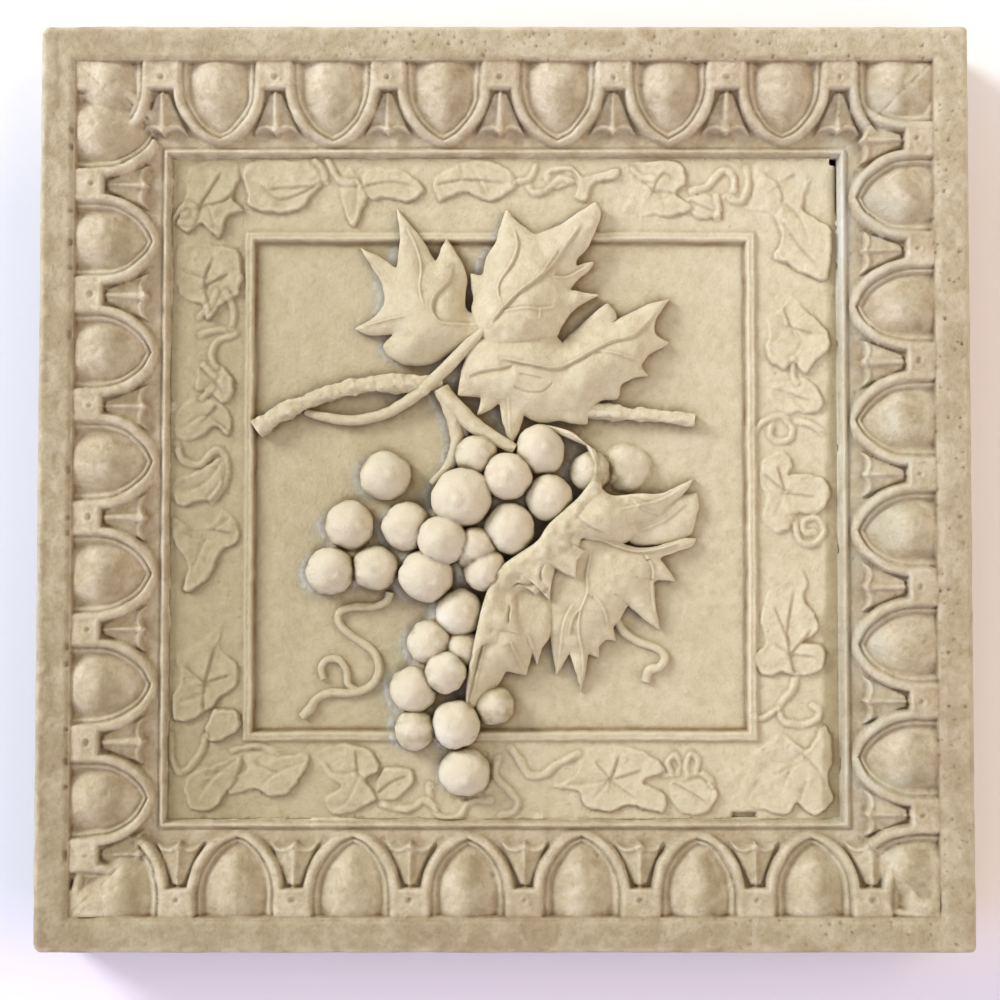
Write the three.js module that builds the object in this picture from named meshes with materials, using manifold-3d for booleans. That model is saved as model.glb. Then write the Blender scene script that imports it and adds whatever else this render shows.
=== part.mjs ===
// Decorative wall plaque: a moulded egg-and-dart frame around a relief tile of vine leaves and grapes.
// Millimetres. +X right, +Z up, +Y into the wall; the origin is the middle of the flat back.

import * as THREE from "three";
import { mergeVertices } from "three/addons/utils/BufferGeometryUtils.js";
import { ConvexGeometry } from "three/addons/geometries/ConvexGeometry.js";
import Module from "manifold-3d";

const wasm = await Module();
wasm.setup();

// ---- driving sizes -------------------------------------------------------------------------------
const WIDTH = 254;
const HEIGHT = 252;
const THICKNESS = 24;
const EDGE_ROUND = 2;
const CORNER_ROUND = 2.2;
const BORDER = 9.5;
const OPENING = 25;            // from the border's inner edge to the frame's inner wall
const JOINT = 0.35;            // open joint between frame and tile
const FRIEZE_DEPTH = 9;        // depths are measured from the border's front face
const PANEL_DEPTH = 10;
const FILLET_DEPTH = 7.9;
const FILLET_WIDTH = 2.4;
const PANEL = { left: -69.2, right: 67.0, top: 68.0, bottom: -67.4 };
const NOTCH = { width: 2.4, height: 2.2, depth: 9 };
const HALF_W = WIDTH / 2;
const HALF_H = HEIGHT / 2;
const TILE_HALF_W = HALF_W - BORDER - OPENING - JOINT;
const TILE_HALF_H = HALF_H - BORDER - OPENING - JOINT;

// ---- egg-and-dart unit: u runs along the side, t inward from the border's inner edge ------------------
const EGG = { wide: 7.7, tip: 17.8, axisDepth: 7.2, flat: 0.86 };
const HUSK = { wide: 11.7, tip: 20.2, thick: 1.25, links: 3 };
const STRAP = { half: 3.2, length: 7.2, top: 1.0 };
const DART = { start: 7.6, end: 17.2, half: 4.6, rib: 2.6 };
const SCALLOP = { t: 18.7, half: 6.6, drop: 2.0 };
const SIDES = [
  { turn: 0, half: HALF_H, first: -109.5, pitch: 31.0 },
  { turn: 1, half: HALF_W, first: -110.8, pitch: 30.8 },
  { turn: 2, half: HALF_H, first: -114.9, pitch: 31.27 },
  { turn: 3, half: HALF_W, first: -115.2, pitch: 30.4 },
];
const EGGS_PER_SIDE = 8;

// ---- solid helpers -------------------------------------------------------------------------------
const faceY = (depth) => depth - THICKNESS;

function signedVolume(position, index) {
  const [a, b, c] = [new THREE.Vector3(), new THREE.Vector3(), new THREE.Vector3()];
  let sum = 0;
  for (let i = 0; i < index.count; i += 3) {
    a.fromBufferAttribute(position, index.getX(i));
    b.fromBufferAttribute(position, index.getX(i + 1));
    c.fromBufferAttribute(position, index.getX(i + 2));
    sum += a.dot(b.cross(c));
  }
  return sum / 6;
}

// Turn the faces outward where a mirrored mapping has turned them in.
function faceOutward(geometry) {
  const { index, attributes } = geometry;
  if (signedVolume(attributes.position, index) > 0) return;
  for (let i = 0; i < index.count; i += 3) {
    const keep = index.getX(i);
    index.setX(i, index.getX(i + 1));
    index.setX(i + 1, keep);
  }
}

function solid(geometry) {
  geometry.deleteAttribute("normal");
  geometry.deleteAttribute("uv");
  const merged = mergeVertices(geometry, 1e-4);
  faceOutward(merged);
  const mesh = new wasm.Mesh({
    numProp: 3,
    vertProperties: new Float32Array(merged.attributes.position.array),
    triVerts: new Uint32Array(merged.index.array),
  });
  mesh.merge();
  return new wasm.Manifold(mesh);
}

function join(list) {
  let pool = list.slice();
  while (pool.length > 1) {
    const next = [];
    for (let i = 0; i + 1 < pool.length; i += 2) next.push(pool[i].add(pool[i + 1]));
    if (pool.length % 2) next.push(pool[pool.length - 1]);
    pool = next;
  }
  return pool[0];
}

function toGeometry(manifold) {
  const mesh = manifold.getMesh();
  const geometry = new THREE.BufferGeometry();
  const positions = new Float32Array(mesh.numVert * 3);
  for (let i = 0; i < mesh.numVert; i += 1) {
    for (let k = 0; k < 3; k += 1) positions[3 * i + k] = mesh.vertProperties[i * mesh.numProp + k];
  }
  geometry.setAttribute("position", new THREE.BufferAttribute(positions, 3));
  geometry.setIndex(new THREE.BufferAttribute(new Uint32Array(mesh.triVerts), 1));
  geometry.computeVertexNormals();
  return geometry;
}

function hull(points) {
  return solid(new ConvexGeometry(points.map((p) => new THREE.Vector3(...p))));
}

function box(x0, x1, y0, y1, z0, z1) {
  const geometry = new THREE.BoxGeometry(x1 - x0, y1 - y0, z1 - z0);
  geometry.translate((x0 + x1) / 2, (y0 + y1) / 2, (z0 + z1) / 2);
  return solid(geometry);
}

// A shape drawn in (x, z), extruded from the front y to the back y.
function slab(shape, front, back) {
  const geometry = new THREE.ExtrudeGeometry(shape, { depth: back - front, bevelEnabled: false });
  geometry.rotateX(Math.PI / 2);
  geometry.translate(0, back, 0);
  return solid(geometry);
}

// A four-sided mitred ring swept from a closed profile of [half extent, y] stations.
function mitredRing(profile) {
  const points = profile.map(([half, y]) => new THREE.Vector2(half * Math.SQRT2, y));
  points.push(points[0].clone());
  return new THREE.LatheGeometry(points, 4, Math.PI / 4);
}

// A round rod along a smooth line of [x, y, z] stations.
function rod(stations, radius, sides, steps) {
  const path = new THREE.CatmullRomCurve3(stations.map((p) => new THREE.Vector3(...p)));
  const section = new THREE.Shape();
  for (let i = 0; i < sides; i += 1) {
    const a = (2 * Math.PI * i) / sides;
    if (i === 0) section.moveTo(radius * Math.cos(a), radius * Math.sin(a));
    else section.lineTo(radius * Math.cos(a), radius * Math.sin(a));
  }
  section.closePath();
  return solid(new THREE.ExtrudeGeometry(section, { steps, extrudePath: path, bevelEnabled: false }));
}

// ---- frame ---------------------------------------------------------------------------------------
function frameProfile() {
  const inner = HALF_W - BORDER;
  const at = (t, depth) => [inner - t, faceY(depth)];
  return [
    [HALF_W, 0],
    at(OPENING, THICKNESS),
    at(OPENING, 8.7),
    at(24.1, 8.5),
    at(23.8, 6.6),
    at(22.9, 6.6),
    at(22.4, 8.7),
    at(20.4, 8.7),
    at(0.8, 3.9),
    at(0.0, 0.0),
    [HALF_W - EDGE_ROUND, faceY(0)],
    [HALF_W - 0.3 * EDGE_ROUND, faceY(0.3 * EDGE_ROUND)],
    [HALF_W, faceY(EDGE_ROUND)],
  ];
}

function roundedOutline(halfW, halfH, r) {
  const shape = new THREE.Shape();
  shape.moveTo(-halfW + r, -halfH);
  for (const [cx, cz, from] of [[1, -1, -90], [1, 1, 0], [-1, 1, 90], [-1, -1, 180]]) {
    for (let i = 0; i <= 3; i += 1) {
      const a = THREE.MathUtils.degToRad(from + 30 * i);
      shape.lineTo(cx * (halfW - r) + r * Math.cos(a), cz * (halfH - r) + r * Math.sin(a));
    }
  }
  shape.closePath();
  return shape;
}

// Depth of the convex ovolo surface that the ornament is carved to.
function ovolo(t) {
  return 0.6 + 7.6 * (1 - Math.sqrt(Math.max(0, 1 - (t / 21.2) ** 2)));
}

function egg(u, half) {
  const stations = [[0, 0], [EGG.wide * 0.97, 0]];
  for (const s of [0.42, 0.78]) {
    stations.push([EGG.wide * Math.cos((Math.PI / 2) * s ** 1.55), EGG.tip * s]);
  }
  stations.push([0, EGG.tip]);
  const points = stations.map(([r, t]) => new THREE.Vector2(r, t));
  const geometry = new THREE.LatheGeometry(points, 8);
  const positions = geometry.attributes.position;
  for (let i = 0; i < positions.count; i += 1) {
    const t = positions.getY(i);
    const y = faceY(EGG.axisDepth + 0.55 * ovolo(t)) - EGG.flat * positions.getZ(i);
    positions.setXYZ(i, u + positions.getX(i), y, half - BORDER - t);
  }
  return solid(geometry);
}

// The pointed rim around one egg: a ridge whose crest follows the ovolo.
function husk(u, half) {
  const halves = [-1, 1].map((side) => {
    const links = [];
    for (let i = 0; i < HUSK.links; i += 1) {
      const ends = [i, i + 1].flatMap((n) => ridgeStation(u, half, side, (n / HUSK.links) ** 0.8));
      links.push(hull(ends));
    }
    return join(links);
  });
  return join(halves);
}

// Crest and two feet of the husk's ridge at a fraction of the way from its point to the border.
function ridgeStation(u, half, side, s) {
  const t = 0.3 + (HUSK.tip - 0.3) * (1 - s ** 1.6);
  const across = HUSK.wide * Math.sin((Math.PI / 2) * s);
  const lean = Math.min(1, 2.2 * s);
  const foot = HUSK.thick * 1.3;
  const at = (offset, depth) => [
    u + side * (across + offset * lean),
    faceY(ovolo(t) + depth),
    half - BORDER - t + offset * (1 - lean) * -1,
  ];
  return [at(0, 0.5), at(foot, 5), at(-foot, 5)];
}

function strap(u, half) {
  const z = (t) => half - BORDER - t;
  const front = faceY(STRAP.top);
  const back = faceY(8);
  const end = 0.5 * STRAP.half;
  const points = [];
  for (const side of [-1, 1]) {
    points.push([u + side * STRAP.half, back, z(0)], [u + side * STRAP.half * 0.8, front, z(0)]);
    points.push([u + side * end, back, z(STRAP.length)], [u + side * end, front, z(STRAP.length)]);
  }
  return hull(points);
}

function dart(u, half) {
  const z = (t) => half - BORDER - t;
  const front = faceY(ovolo(DART.end) - 0.2);
  const back = faceY(10);
  const wedge = [[u, faceY(4.0), z(DART.start)], [u, back, z(DART.start)], [u, front - 0.9, z(DART.end)]];
  for (const side of [-1, 1]) {
    wedge.push([u + side * DART.half, front + 0.9, z(DART.end)], [u + side * DART.half, back, z(DART.end)]);
  }
  const foot = faceY(ovolo(SCALLOP.t) + 2);
  const bracket = [[u, foot - 2, z(SCALLOP.t - 0.8)], [u, back, z(SCALLOP.t)]];
  for (const side of [-1, 1]) {
    bracket.push([u + side * SCALLOP.half, foot, z(SCALLOP.t - 1)]);
    bracket.push([u + 0.5 * side * SCALLOP.half, foot - 0.6, z(SCALLOP.t + 0.6 * SCALLOP.drop)]);
  }
  return join([hull(wedge), hull(bracket)]);
}

// The wedge of one side between its two mitre lines.
function mitreWedge(half) {
  const shape = new THREE.Shape();
  const reach = half - BORDER + 0.2;
  const low = half - BORDER - OPENING + 0.4;
  const other = half === HALF_H ? HALF_W - HALF_H : HALF_H - HALF_W;
  shape.moveTo(-reach - other, reach);
  shape.lineTo(-low - other, low);
  shape.lineTo(low + other, low);
  shape.lineTo(reach + other, reach);
  shape.closePath();
  return slab(shape, faceY(-1), faceY(20));
}

function sideOrnament({ turn, half, first, pitch }) {
  const parts = [];
  for (let k = 0; k < EGGS_PER_SIDE; k += 1) {
    const u = first + pitch * k;
    parts.push(egg(u, half), husk(u, half));
  }
  for (let k = 0; k <= EGGS_PER_SIDE; k += 1) {
    const u = first + pitch * (k - 0.5);
    parts.push(strap(u, half), dart(u, half));
  }
  const side = toGeometry(join(parts).intersect(mitreWedge(half)));
  side.rotateY((turn * Math.PI) / 2);
  return solid(side);
}

function frameGeometry() {
  const ring = mitredRing(frameProfile());
  ring.scale(1, 1, HALF_H / HALF_W);
  const outline = roundedOutline(HALF_W, HALF_H, CORNER_ROUND);
  const body = solid(ring).intersect(slab(outline, faceY(-1), 1));
  return toGeometry(join([body, ...SIDES.map(sideOrnament)]));
}

// ---- relief tile: ground -------------------------------------------------------------------------
function tileGround() {
  const block = box(-TILE_HALF_W, TILE_HALF_W, faceY(FRIEZE_DEPTH), 0, -TILE_HALF_H, TILE_HALF_H);
  const { left, right, top, bottom } = PANEL;
  const w = FILLET_WIDTH;
  const far = faceY(FRIEZE_DEPTH + 1);
  const rim = box(left - w, right + w, faceY(FILLET_DEPTH), far, bottom - w, top + w);
  const sink = box(left, right, faceY(0), faceY(PANEL_DEPTH), bottom, top);
  const notch = box(
    TILE_HALF_W - NOTCH.width, TILE_HALF_W + 1,
    faceY(FRIEZE_DEPTH) - 1, faceY(FRIEZE_DEPTH) + NOTCH.depth,
    TILE_HALF_H - NOTCH.height, TILE_HALF_H + 1,
  );
  return block.add(rim).subtract(sink).subtract(notch);
}

// ---- relief tile: leaves ---------------------------------------------------------------------------
const LEAF_CROWN = { ridge: 1.1, valley: 0.9, base: 0.8 };

// A star-shaped leaf: folded sheets run from the heart out to an outline of tips and notches, each an
// [x, z, y]. Ridges run to the tips and valleys to the notches; a wall drops from the rim into the ground.
function starSolid(heart, outline, baseY, folded) {
  const n = outline.length;
  const rings = folded ? 2 : 1;
  const levels = folded ? rings + 1 : rings;
  const geometry = new THREE.ConeGeometry(1, 1, n, levels);
  const reach = outline.map(([x, z]) => Math.hypot(x - heart[0], z - heart[1]));
  const fold = reach.map((r, k) => {
    const beside = (reach[(k + 1) % n] + reach[(k + n - 1) % n]) / 2;
    return r > beside ? -LEAF_CROWN.ridge : LEAF_CROWN.valley;
  });
  const position = geometry.attributes.position;
  for (let i = 0; i < position.count; i += 1) {
    const turn = Math.atan2(position.getX(i), position.getZ(i)) / (2 * Math.PI);
    const k = (Math.round(turn * n) + n) % n;
    const level = Math.round((0.5 - position.getY(i)) * levels);
    const onAxis = Math.hypot(position.getX(i), position.getZ(i)) < 1e-6;
    const share = onAxis ? 0 : Math.min(1, level / rings);
    const [x, z, rimY] = outline[k];
    const bend = share > 0 && share < 1 ? fold[k] : 0;
    const top = folded ? heart[2] + (rimY - heart[2]) * share + bend : heart[2];
    const y = level === levels ? baseY : top;
    position.setXYZ(i, heart[0] + (x - heart[0]) * share, y, heart[1] + (z - heart[1]) * share);
  }
  return solid(geometry);
}

// Each leaf: the heart [x, z, y] and its outline of tips and notches in turn.
const LEAVES = {
  upperLeft: {
    heart: [-21, 46.5, -22],
    outline: [
      [-29.8, 77.2, -17.5], [-29.5, 60, -17.5], [-40, 65.8, -16], [-33.8, 50, -17], [-41.4, 43, -16.5],
      [-31, 41, -17], [-33, 36.8, -16.5], [-27.5, 33, -17.5], [-19, 33.8, -18.5], [-8.4, 40, -20],
      [-9.4, 48.5, -19], [-10.4, 57.8, -18], [-15.4, 69, -17.5], [-18.9, 62, -17.5], [-24, 70, -17.5],
    ],
  },
  upperRight: {
    heart: [-3, 45.5, -24],
    outline: [
      [0.5, 76.5, -18.5], [-1.8, 68, -18.5], [-4.8, 62.5, -18.5], [-6, 57.5, -18.5], [-8.5, 48, -20],
      [-8.5, 43, -20], [-3.5, 39.2, -20], [-1.8, 35.7, -19.5], [4.8, 36, -19.5], [11.5, 39.2, -19.5],
      [20.3, 43, -19], [26.4, 52.6, -18.5], [17.8, 54.5, -19], [25, 62, -18.5], [20, 62, -19],
      [22, 64.3, -19], [26.6, 74, -19.5], [25, 78, -20], [17, 74, -19.5], [8.5, 69.6, -19.5],
    ],
  },
  right: {
    heart: [-1, 32, -22.5],
    outline: [
      [-11.8, 31, -19.5], [-12.8, 25, -18.5], [-7, 23.3, -18.5], [-7.6, 19, -18], [-1.4, 21.6, -19],
      [1.5, 10.8, -19], [4.9, 19.2, -19], [8.8, 16, -18.5], [22.7, 17.2, -18.5], [31.6, 22.6, -17.5],
      [30.5, 28, -18], [39.6, 30, -17], [36, 34.5, -18], [45.6, 39, -16.5], [40, 44, -18],
      [45.6, 51.6, -17], [30.2, 45.2, -18], [28.3, 50.5, -18], [10, 40, -19], [-9, 37, -19],
    ],
  },
  lower: {
    heart: [18, -12, -22],
    outline: [
      [52, 2.4, -16.5], [44.5, -9.5, -17], [52, -15, -16.5], [42.5, -20.5, -17], [46.6, -26.4, -16.5],
      [35, -30, -17], [42.2, -39.5, -16], [31, -37, -17], [30.8, -42.2, -16.5], [27.2, -38, -17],
      [26.2, -46.6, -16.5], [22.5, -44.8, -17], [21.9, -56.3, -16], [18, -45.6, -17], [17.2, -50, -16.5],
      [15.4, -45.5, -17], [13.4, -51.6, -16.5], [12.5, -40.7, -17], [8, -30, -19], [2.5, -21.5, -22],
      [11, -14.8, -23], [16, -10, -23], [24.5, -1, -21], [33, -3.2, -18],
    ],
  },
  tongue: {
    heart: [2, -27, -21],
    outline: [
      [-10.1, -62, -18], [-4, -57, -17], [0.4, -50.5, -17], [3, -46, -17.5], [6.3, -52, -17],
      [8.2, -45, -17.5], [10, -48.6, -17], [12.5, -40.7, -17.5], [14, -28, -19], [8, -17, -21],
      [-3, -27, -22], [-8.5, -42, -20],
    ],
  },
};

function leafSolid({ heart, outline }) {
  return starSolid(heart, outline, faceY(PANEL_DEPTH) + LEAF_CROWN.base, true);
}

// ---- relief tile: grapes, twig, tendrils -----------------------------------------------------------
// [x, z, radius, how far the front stands out from the panel ground]
const GRAPES = [
  [-32.6, 2.7, 7.1, 9], [-42.5, -10.8, 6.7, 9], [-26.9, -11.3, 6.8, 9.5], [-47.6, -23.4, 6.8, 9],
  [-35.5, -22.6, 6.4, 8.5], [-21.3, -24.5, 7.6, 11.5], [-16.8, -14.8, 6.9, 13.5], [-11.7, -3.1, 8.3, 13],
  [-7.6, 8.4, 5.8, 9], [0.9, 2.7, 6.8, 12], [9.8, 9.8, 6.9, 10], [12.1, -3.1, 6.4, 10],
  [1.4, -11.7, 7.0, 11], [23.6, 4, 5.6, 8], [31.8, 4.5, 7.2, 5], [-5.5, -23, 5.9, 11],
  [-8.1, -17.2, 6.1, 10.5], [-12.5, -34.7, 6.6, 9.5], [-20.3, -42.9, 6.3, 9], [-16, -50.7, 5.7, 11],
  [-24.9, -55.7, 6.3, 9], [-24.5, -66.6, 5.6, 8.5], [-13.2, -65.1, 6.5, 10.5], [-2.7, -60.1, 5.5, 7],
  [-10.9, -78.1, 7.2, 8.5], [-11.5, -44.8, 5.8, 8],
];

// A berry round in front and straight-sided below its middle, down into the ground.
function grape([x, z, radius, stand]) {
  const base = faceY(PANEL_DEPTH) + 1;
  const middle = faceY(PANEL_DEPTH) - stand + radius;
  const r = radius * 1.03;
  const low = Math.min(-0.3 * r, middle - base);
  const stations = [[0, low], [0.86 * r, low], [0.98 * r, 0.12 * r], [0.64 * r, 0.76 * r], [0, r]];
  const points = stations.map(([across, out]) => new THREE.Vector2(across, out));
  const geometry = new THREE.LatheGeometry(points, 7);
  geometry.rotateX(Math.PI);
  geometry.translate(x, middle, z);
  return solid(geometry);
}

// Rods that stand on the panel or lie over the grapes; the lines run in [x, y, z].
const STEMS = [
  {
    radius: 2.4, sides: 5, steps: 6,
    line: [[-68, -15.5, 16.2], [-59.5, -15.8, 21.2], [-36, -16, 28], [-18, -16.5, 28.6]],
  },
  {
    radius: 1.6, sides: 4, steps: 8,
    line: [[-54, -15, 19.5], [-39, -15, 18.7], [-29, -15.5, 22], [-20.5, -17, 28], [-8.6, -19.5, 39]],
  },
  {
    radius: 2.1, sides: 5, steps: 3,
    line: [[20, -15.8, 20.6], [36, -15.7, 19.6], [52.2, -15.5, 18.3]],
  },
  {
    radius: 1.7, sides: 4, steps: 5,
    line: [[-17, -16.5, 26.5], [-14, -16, 21.5], [-13.2, -15.5, 14], [-16, -15.5, 5]],
  },
  {
    radius: 1.8, sides: 4, steps: 4,
    line: [[-15, -16.5, 23], [-8.6, -17.5, 16.6], [0, -18.5, 11.5], [3, -18.5, 10]],
  },
];

const ROLLED_EDGE = {
  radius: 2.6, sides: 5, steps: 12,
  line: [
    [9, -17, 16], [18.6, -17, 15], [24.6, -18, 10.5], [25.4, -20.5, 2], [21.5, -23, -5.4],
    [11, -25, -15], [2, -25.5, -22], [-4, -25, -30], [-7.6, -24, -40], [-10.3, -22, -52], [-10.1, -20, -61],
  ],
};

// A tendril is a chain of arcs: each [radius, degrees turned], positive to the left.
function arcChain(x, z, heading, arcs, y, step) {
  const stations = [[x, y, z]];
  let angle = THREE.MathUtils.degToRad(heading);
  let px = x;
  let pz = z;
  for (const [radius, degrees] of arcs) {
    const pieces = Math.max(1, Math.round(Math.abs(degrees) / step));
    const turn = THREE.MathUtils.degToRad(degrees) / pieces;
    const chord = 2 * radius * Math.sin(Math.abs(turn) / 2);
    for (let i = 0; i < pieces; i += 1) {
      angle += turn / 2;
      px += chord * Math.cos(angle);
      pz += chord * Math.sin(angle);
      angle += turn / 2;
      stations.push([px, y, pz]);
    }
  }
  return stations;
}

const TENDRIL_Y = faceY(PANEL_DEPTH) - 0.2;
const TENDRILS = [
  {
    start: [-31.5, -29.5], heading: -110,
    arcs: [[5, -75], [25, -25], [4.2, 150], [18, 35], [8.5, -150], [20, -25], [8, 60]],
  },
  { start: [-40, -55.4], heading: 130, arcs: [[7, -20], [4.6, 250]] },
  { start: [31.2, -37.4], heading: -50, arcs: [[14, 30], [6, -100], [4.5, -80], [6, 75]] },
];

function tendril({ start, heading, arcs }) {
  const stations = arcChain(start[0], start[1], heading, arcs, TENDRIL_Y, 50);
  return rod(stations, 1.2, 3, stations.length - 1);
}

// ---- relief tile: frieze -----------------------------------------------------------------------------
// [x, z, degrees of the main tip, size, degrees between lobes]
const FRIEZE_LEAVES = [
  [-82, 80, 45, 12, 62], [-81, 77, 262, 9, 50], [-66, 83, 6, 15, 38], [-42, 83, 268, 11, 40],
  [-36, 84, -5, 13, 40], [-9, 85, 195, 9, 55], [-5, 85, -20, 9, 50], [21, 84, 22, 10, 50],
  [41, 83, 60, 9, 62], [41, 80, 230, 10, 50], [54, 78, 10, 7, 45], [77, 82, 110, 10, 55],
  [79, 70, -55, 14, 58], [79, 42, 0, 11, 58], [79, 42, 250, 9, 50], [79, 25, 20, 9, 55],
  [80, 0, 0, 10, 58], [79, -45, 84, 23, 60], [79, -47, 270, 9, 60], [79, -72, 205, 11, 45],
  [84, -72, 65, 8, 45], [72, -80, 215, 12, 50], [30, -79, 145, 12, 58], [33, -81, -50, 11, 55],
  [66, -79, 190, 9, 45], [-31, -81, 10, 8, 50], [-41, -78, 155, 10, 58], [-41, -80, -60, 9, 55],
  [-66, -78, 20, 13, 50], [-79, -77, 235, 11, 50], [-80, -68, 120, 9, 55], [-83, -52, 250, 12, 60],
  [-82, -50, 70, 13, 50], [-81, -13, 245, 15, 45], [-83, 0, 190, 9, 50], [-84, 18, 190, 8, 50],
  [-80, 28, -50, 8, 50], [-82, 58, 110, 9, 60], [-83, 57, -60, 9, 60],
];
const FRIEZE_LOBES = { side: 0.82, low: 0.62, notch: 0.5, stem: 0.25, stand: 2.2, overrun: 1.22, fiveFrom: 9.5 };

function friezeLeaf([x, z, degrees, size, spread]) {
  const ground = faceY(FRIEZE_DEPTH);
  const { side, low, notch, stem, stand, overrun } = FRIEZE_LOBES;
  const spokes = [[0, 1], [0.5, notch], [1, side]];
  if (size > FRIEZE_LOBES.fiveFrom) spokes.push([1.5, notch], [2, low]);
  const mirrored = spokes.slice(1).reverse().map(([turn, reach]) => [-turn, reach]);
  const outline = [...spokes.map(([turn, reach]) => [turn * spread, reach]), [180, stem]];
  outline.push(...mirrored.map(([turn, reach]) => [turn * spread, reach]));
  const points = outline.map(([turn, reach]) => {
    const a = THREE.MathUtils.degToRad(degrees + turn);
    const r = size * reach * overrun;
    return [x + r * Math.cos(a), z + r * Math.sin(a), ground];
  });
  return starSolid([x, z, ground - stand], points, ground + 0.5, false);
}

// [x, z, heading, arcs] of the running stem and its scrolls
const FRIEZE_STEMS = [
  [-49, 90, -65, [[9, 40], [7, -60]]],
  [57, 83, 50, [[3.8, -260]]],
  [67, 13, 50, [[12, -20], [3.3, -300]]],
  [80, -9, -90, [[4.3, 300]]],
  [80, -52, -110, [[8, -40], [4.5, 150], [3.5, 90]]],
  [45, -79, 10, [[10, 10], [2.6, 300]]],
  [2, -74, -10, [[5, -50], [5, 80]]],
  [-1.5, -76, -80, [[5, -10], [4.5, -150]]],
  [-20, -86, -50, [[8, 60], [6, 70]]],
  [-33, -87, -10, [[9, 30], [8, -50], [8, 40]]],
  [-73, 43, 200, [[9, 60], [4.5, 120]]],
  [-89, 11, -80, [[6, 80], [5, 60], [4.5, -140]]],
];

function friezeStem([x, z, heading, arcs]) {
  const stations = arcChain(x, z, heading, arcs, faceY(FRIEZE_DEPTH) - 0.3, 70);
  return rod(stations, 1.1, 3, stations.length - 1);
}

function tileGeometry() {
  const relief = [
    ...Object.values(LEAVES).map(leafSolid),
    ...GRAPES.map(grape),
    ...[...STEMS, ROLLED_EDGE].map(({ line, radius, sides, steps }) => rod(line, radius, sides, steps)),
    ...TENDRILS.map(tendril),
    ...FRIEZE_LEAVES.map(friezeLeaf),
    ...FRIEZE_STEMS.map(friezeStem),
  ];
  const fence = box(-TILE_HALF_W, TILE_HALF_W, -60, 0, -TILE_HALF_H, TILE_HALF_H);
  const whole = join([tileGround(), ...relief]).intersect(fence);
  return toGeometry(whole);
}

// ---- the plaque -----------------------------------------------------------------------------------
function pieceMesh(name, geometry, colour) {
  const material = new THREE.MeshStandardMaterial({ color: colour, roughness: 0.8, metalness: 0 });
  const mesh = new THREE.Mesh(geometry, material);
  mesh.name = name;
  return mesh;
}

const plaque = new THREE.Group();
plaque.add(pieceMesh("frame", frameGeometry(), 0xcbb994));
plaque.add(pieceMesh("relief_tile", tileGeometry(), 0xdccdab));

export default plaque;
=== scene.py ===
"""Cast and painted wall plaque: egg-and-dart frame around a relief tile of grapes and vine leaves."""

import math

import bmesh
import bpy
import numpy as np
from bpy.props import FloatProperty, FloatVectorProperty, IntProperty, PointerProperty
from bpy.types import Operator, Panel, PropertyGroup
from mathutils import Matrix, Vector


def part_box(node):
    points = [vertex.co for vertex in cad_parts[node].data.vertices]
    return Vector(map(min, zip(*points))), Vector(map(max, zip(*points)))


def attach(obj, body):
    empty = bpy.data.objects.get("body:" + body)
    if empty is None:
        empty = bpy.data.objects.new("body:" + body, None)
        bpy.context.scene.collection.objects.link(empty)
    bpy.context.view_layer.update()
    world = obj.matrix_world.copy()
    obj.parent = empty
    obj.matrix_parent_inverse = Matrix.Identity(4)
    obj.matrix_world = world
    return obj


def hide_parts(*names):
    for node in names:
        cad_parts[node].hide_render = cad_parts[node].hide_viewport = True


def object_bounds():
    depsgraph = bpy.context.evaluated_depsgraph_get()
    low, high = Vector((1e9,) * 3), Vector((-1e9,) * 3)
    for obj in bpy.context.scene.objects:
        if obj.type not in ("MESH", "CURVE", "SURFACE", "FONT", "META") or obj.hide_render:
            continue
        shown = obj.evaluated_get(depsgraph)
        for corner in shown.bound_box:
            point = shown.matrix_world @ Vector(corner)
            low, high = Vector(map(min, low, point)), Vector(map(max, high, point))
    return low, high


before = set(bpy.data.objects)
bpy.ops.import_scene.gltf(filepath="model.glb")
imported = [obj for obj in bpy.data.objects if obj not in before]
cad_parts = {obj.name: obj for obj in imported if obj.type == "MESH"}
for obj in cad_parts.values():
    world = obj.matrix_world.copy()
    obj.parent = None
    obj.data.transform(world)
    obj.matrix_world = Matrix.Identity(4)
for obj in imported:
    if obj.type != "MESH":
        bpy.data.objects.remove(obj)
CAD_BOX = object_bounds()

bl_info = {
    "name": "Vine Plaque",
    "version": (1, 0, 0),
    "blender": (4, 5, 0),
    "location": "View3D > Sidebar > Vine Plaque",
    "description": "Builds a cast and painted wall plaque around its packed frame",
    "category": "Add Mesh",
}

MM = 0.001
TILE_BOX = [[c / MM for c in corner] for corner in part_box("relief_tile")]
FRAME_BOX = [[c / MM for c in corner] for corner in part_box("frame")]
HALF_W = FRAME_BOX[1][0]
HALF_H = FRAME_BOX[1][2]
FRONT = -FRAME_BOX[0][1]            # thickness from the wall to the border's front face
TILE_W = TILE_BOX[1][0]
TILE_H = TILE_BOX[1][2]
BORDER = 9.5                        # all lengths below are millimetres
OPENING = 25.0
FRIEZE_DEPTH = 9.0                  # depths are measured back from the border's front face
PANEL_DEPTH = 10.0
FILLET_DEPTH = 7.9
PANEL = (-69.2, 67.0, -67.4, 68.0)  # left, right, bottom, top of the sunk panel
ROOTED = PANEL_DEPTH + 0.9          # depth to which the leaves' undersides go into the panel
SLIT_FOOT = 74.0                    # height above which the joint's right side is open
LEFT_CORNER = 2.4                   # worn radii of the outer corners
RIGHT_CORNER = 1.5
TILE_CELL = 0.42                    # width of one face of the tile's grid
LEAF_RING = 0.36                    # width of one ring of a leaf's grid
MAP_CELL = 0.6                      # cell of the height map that finds the hollows
FRAME_STEPS = 470                   # grid steps along each side of the frame
MOST_TRIANGLES = 194000             # in one piece

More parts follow.
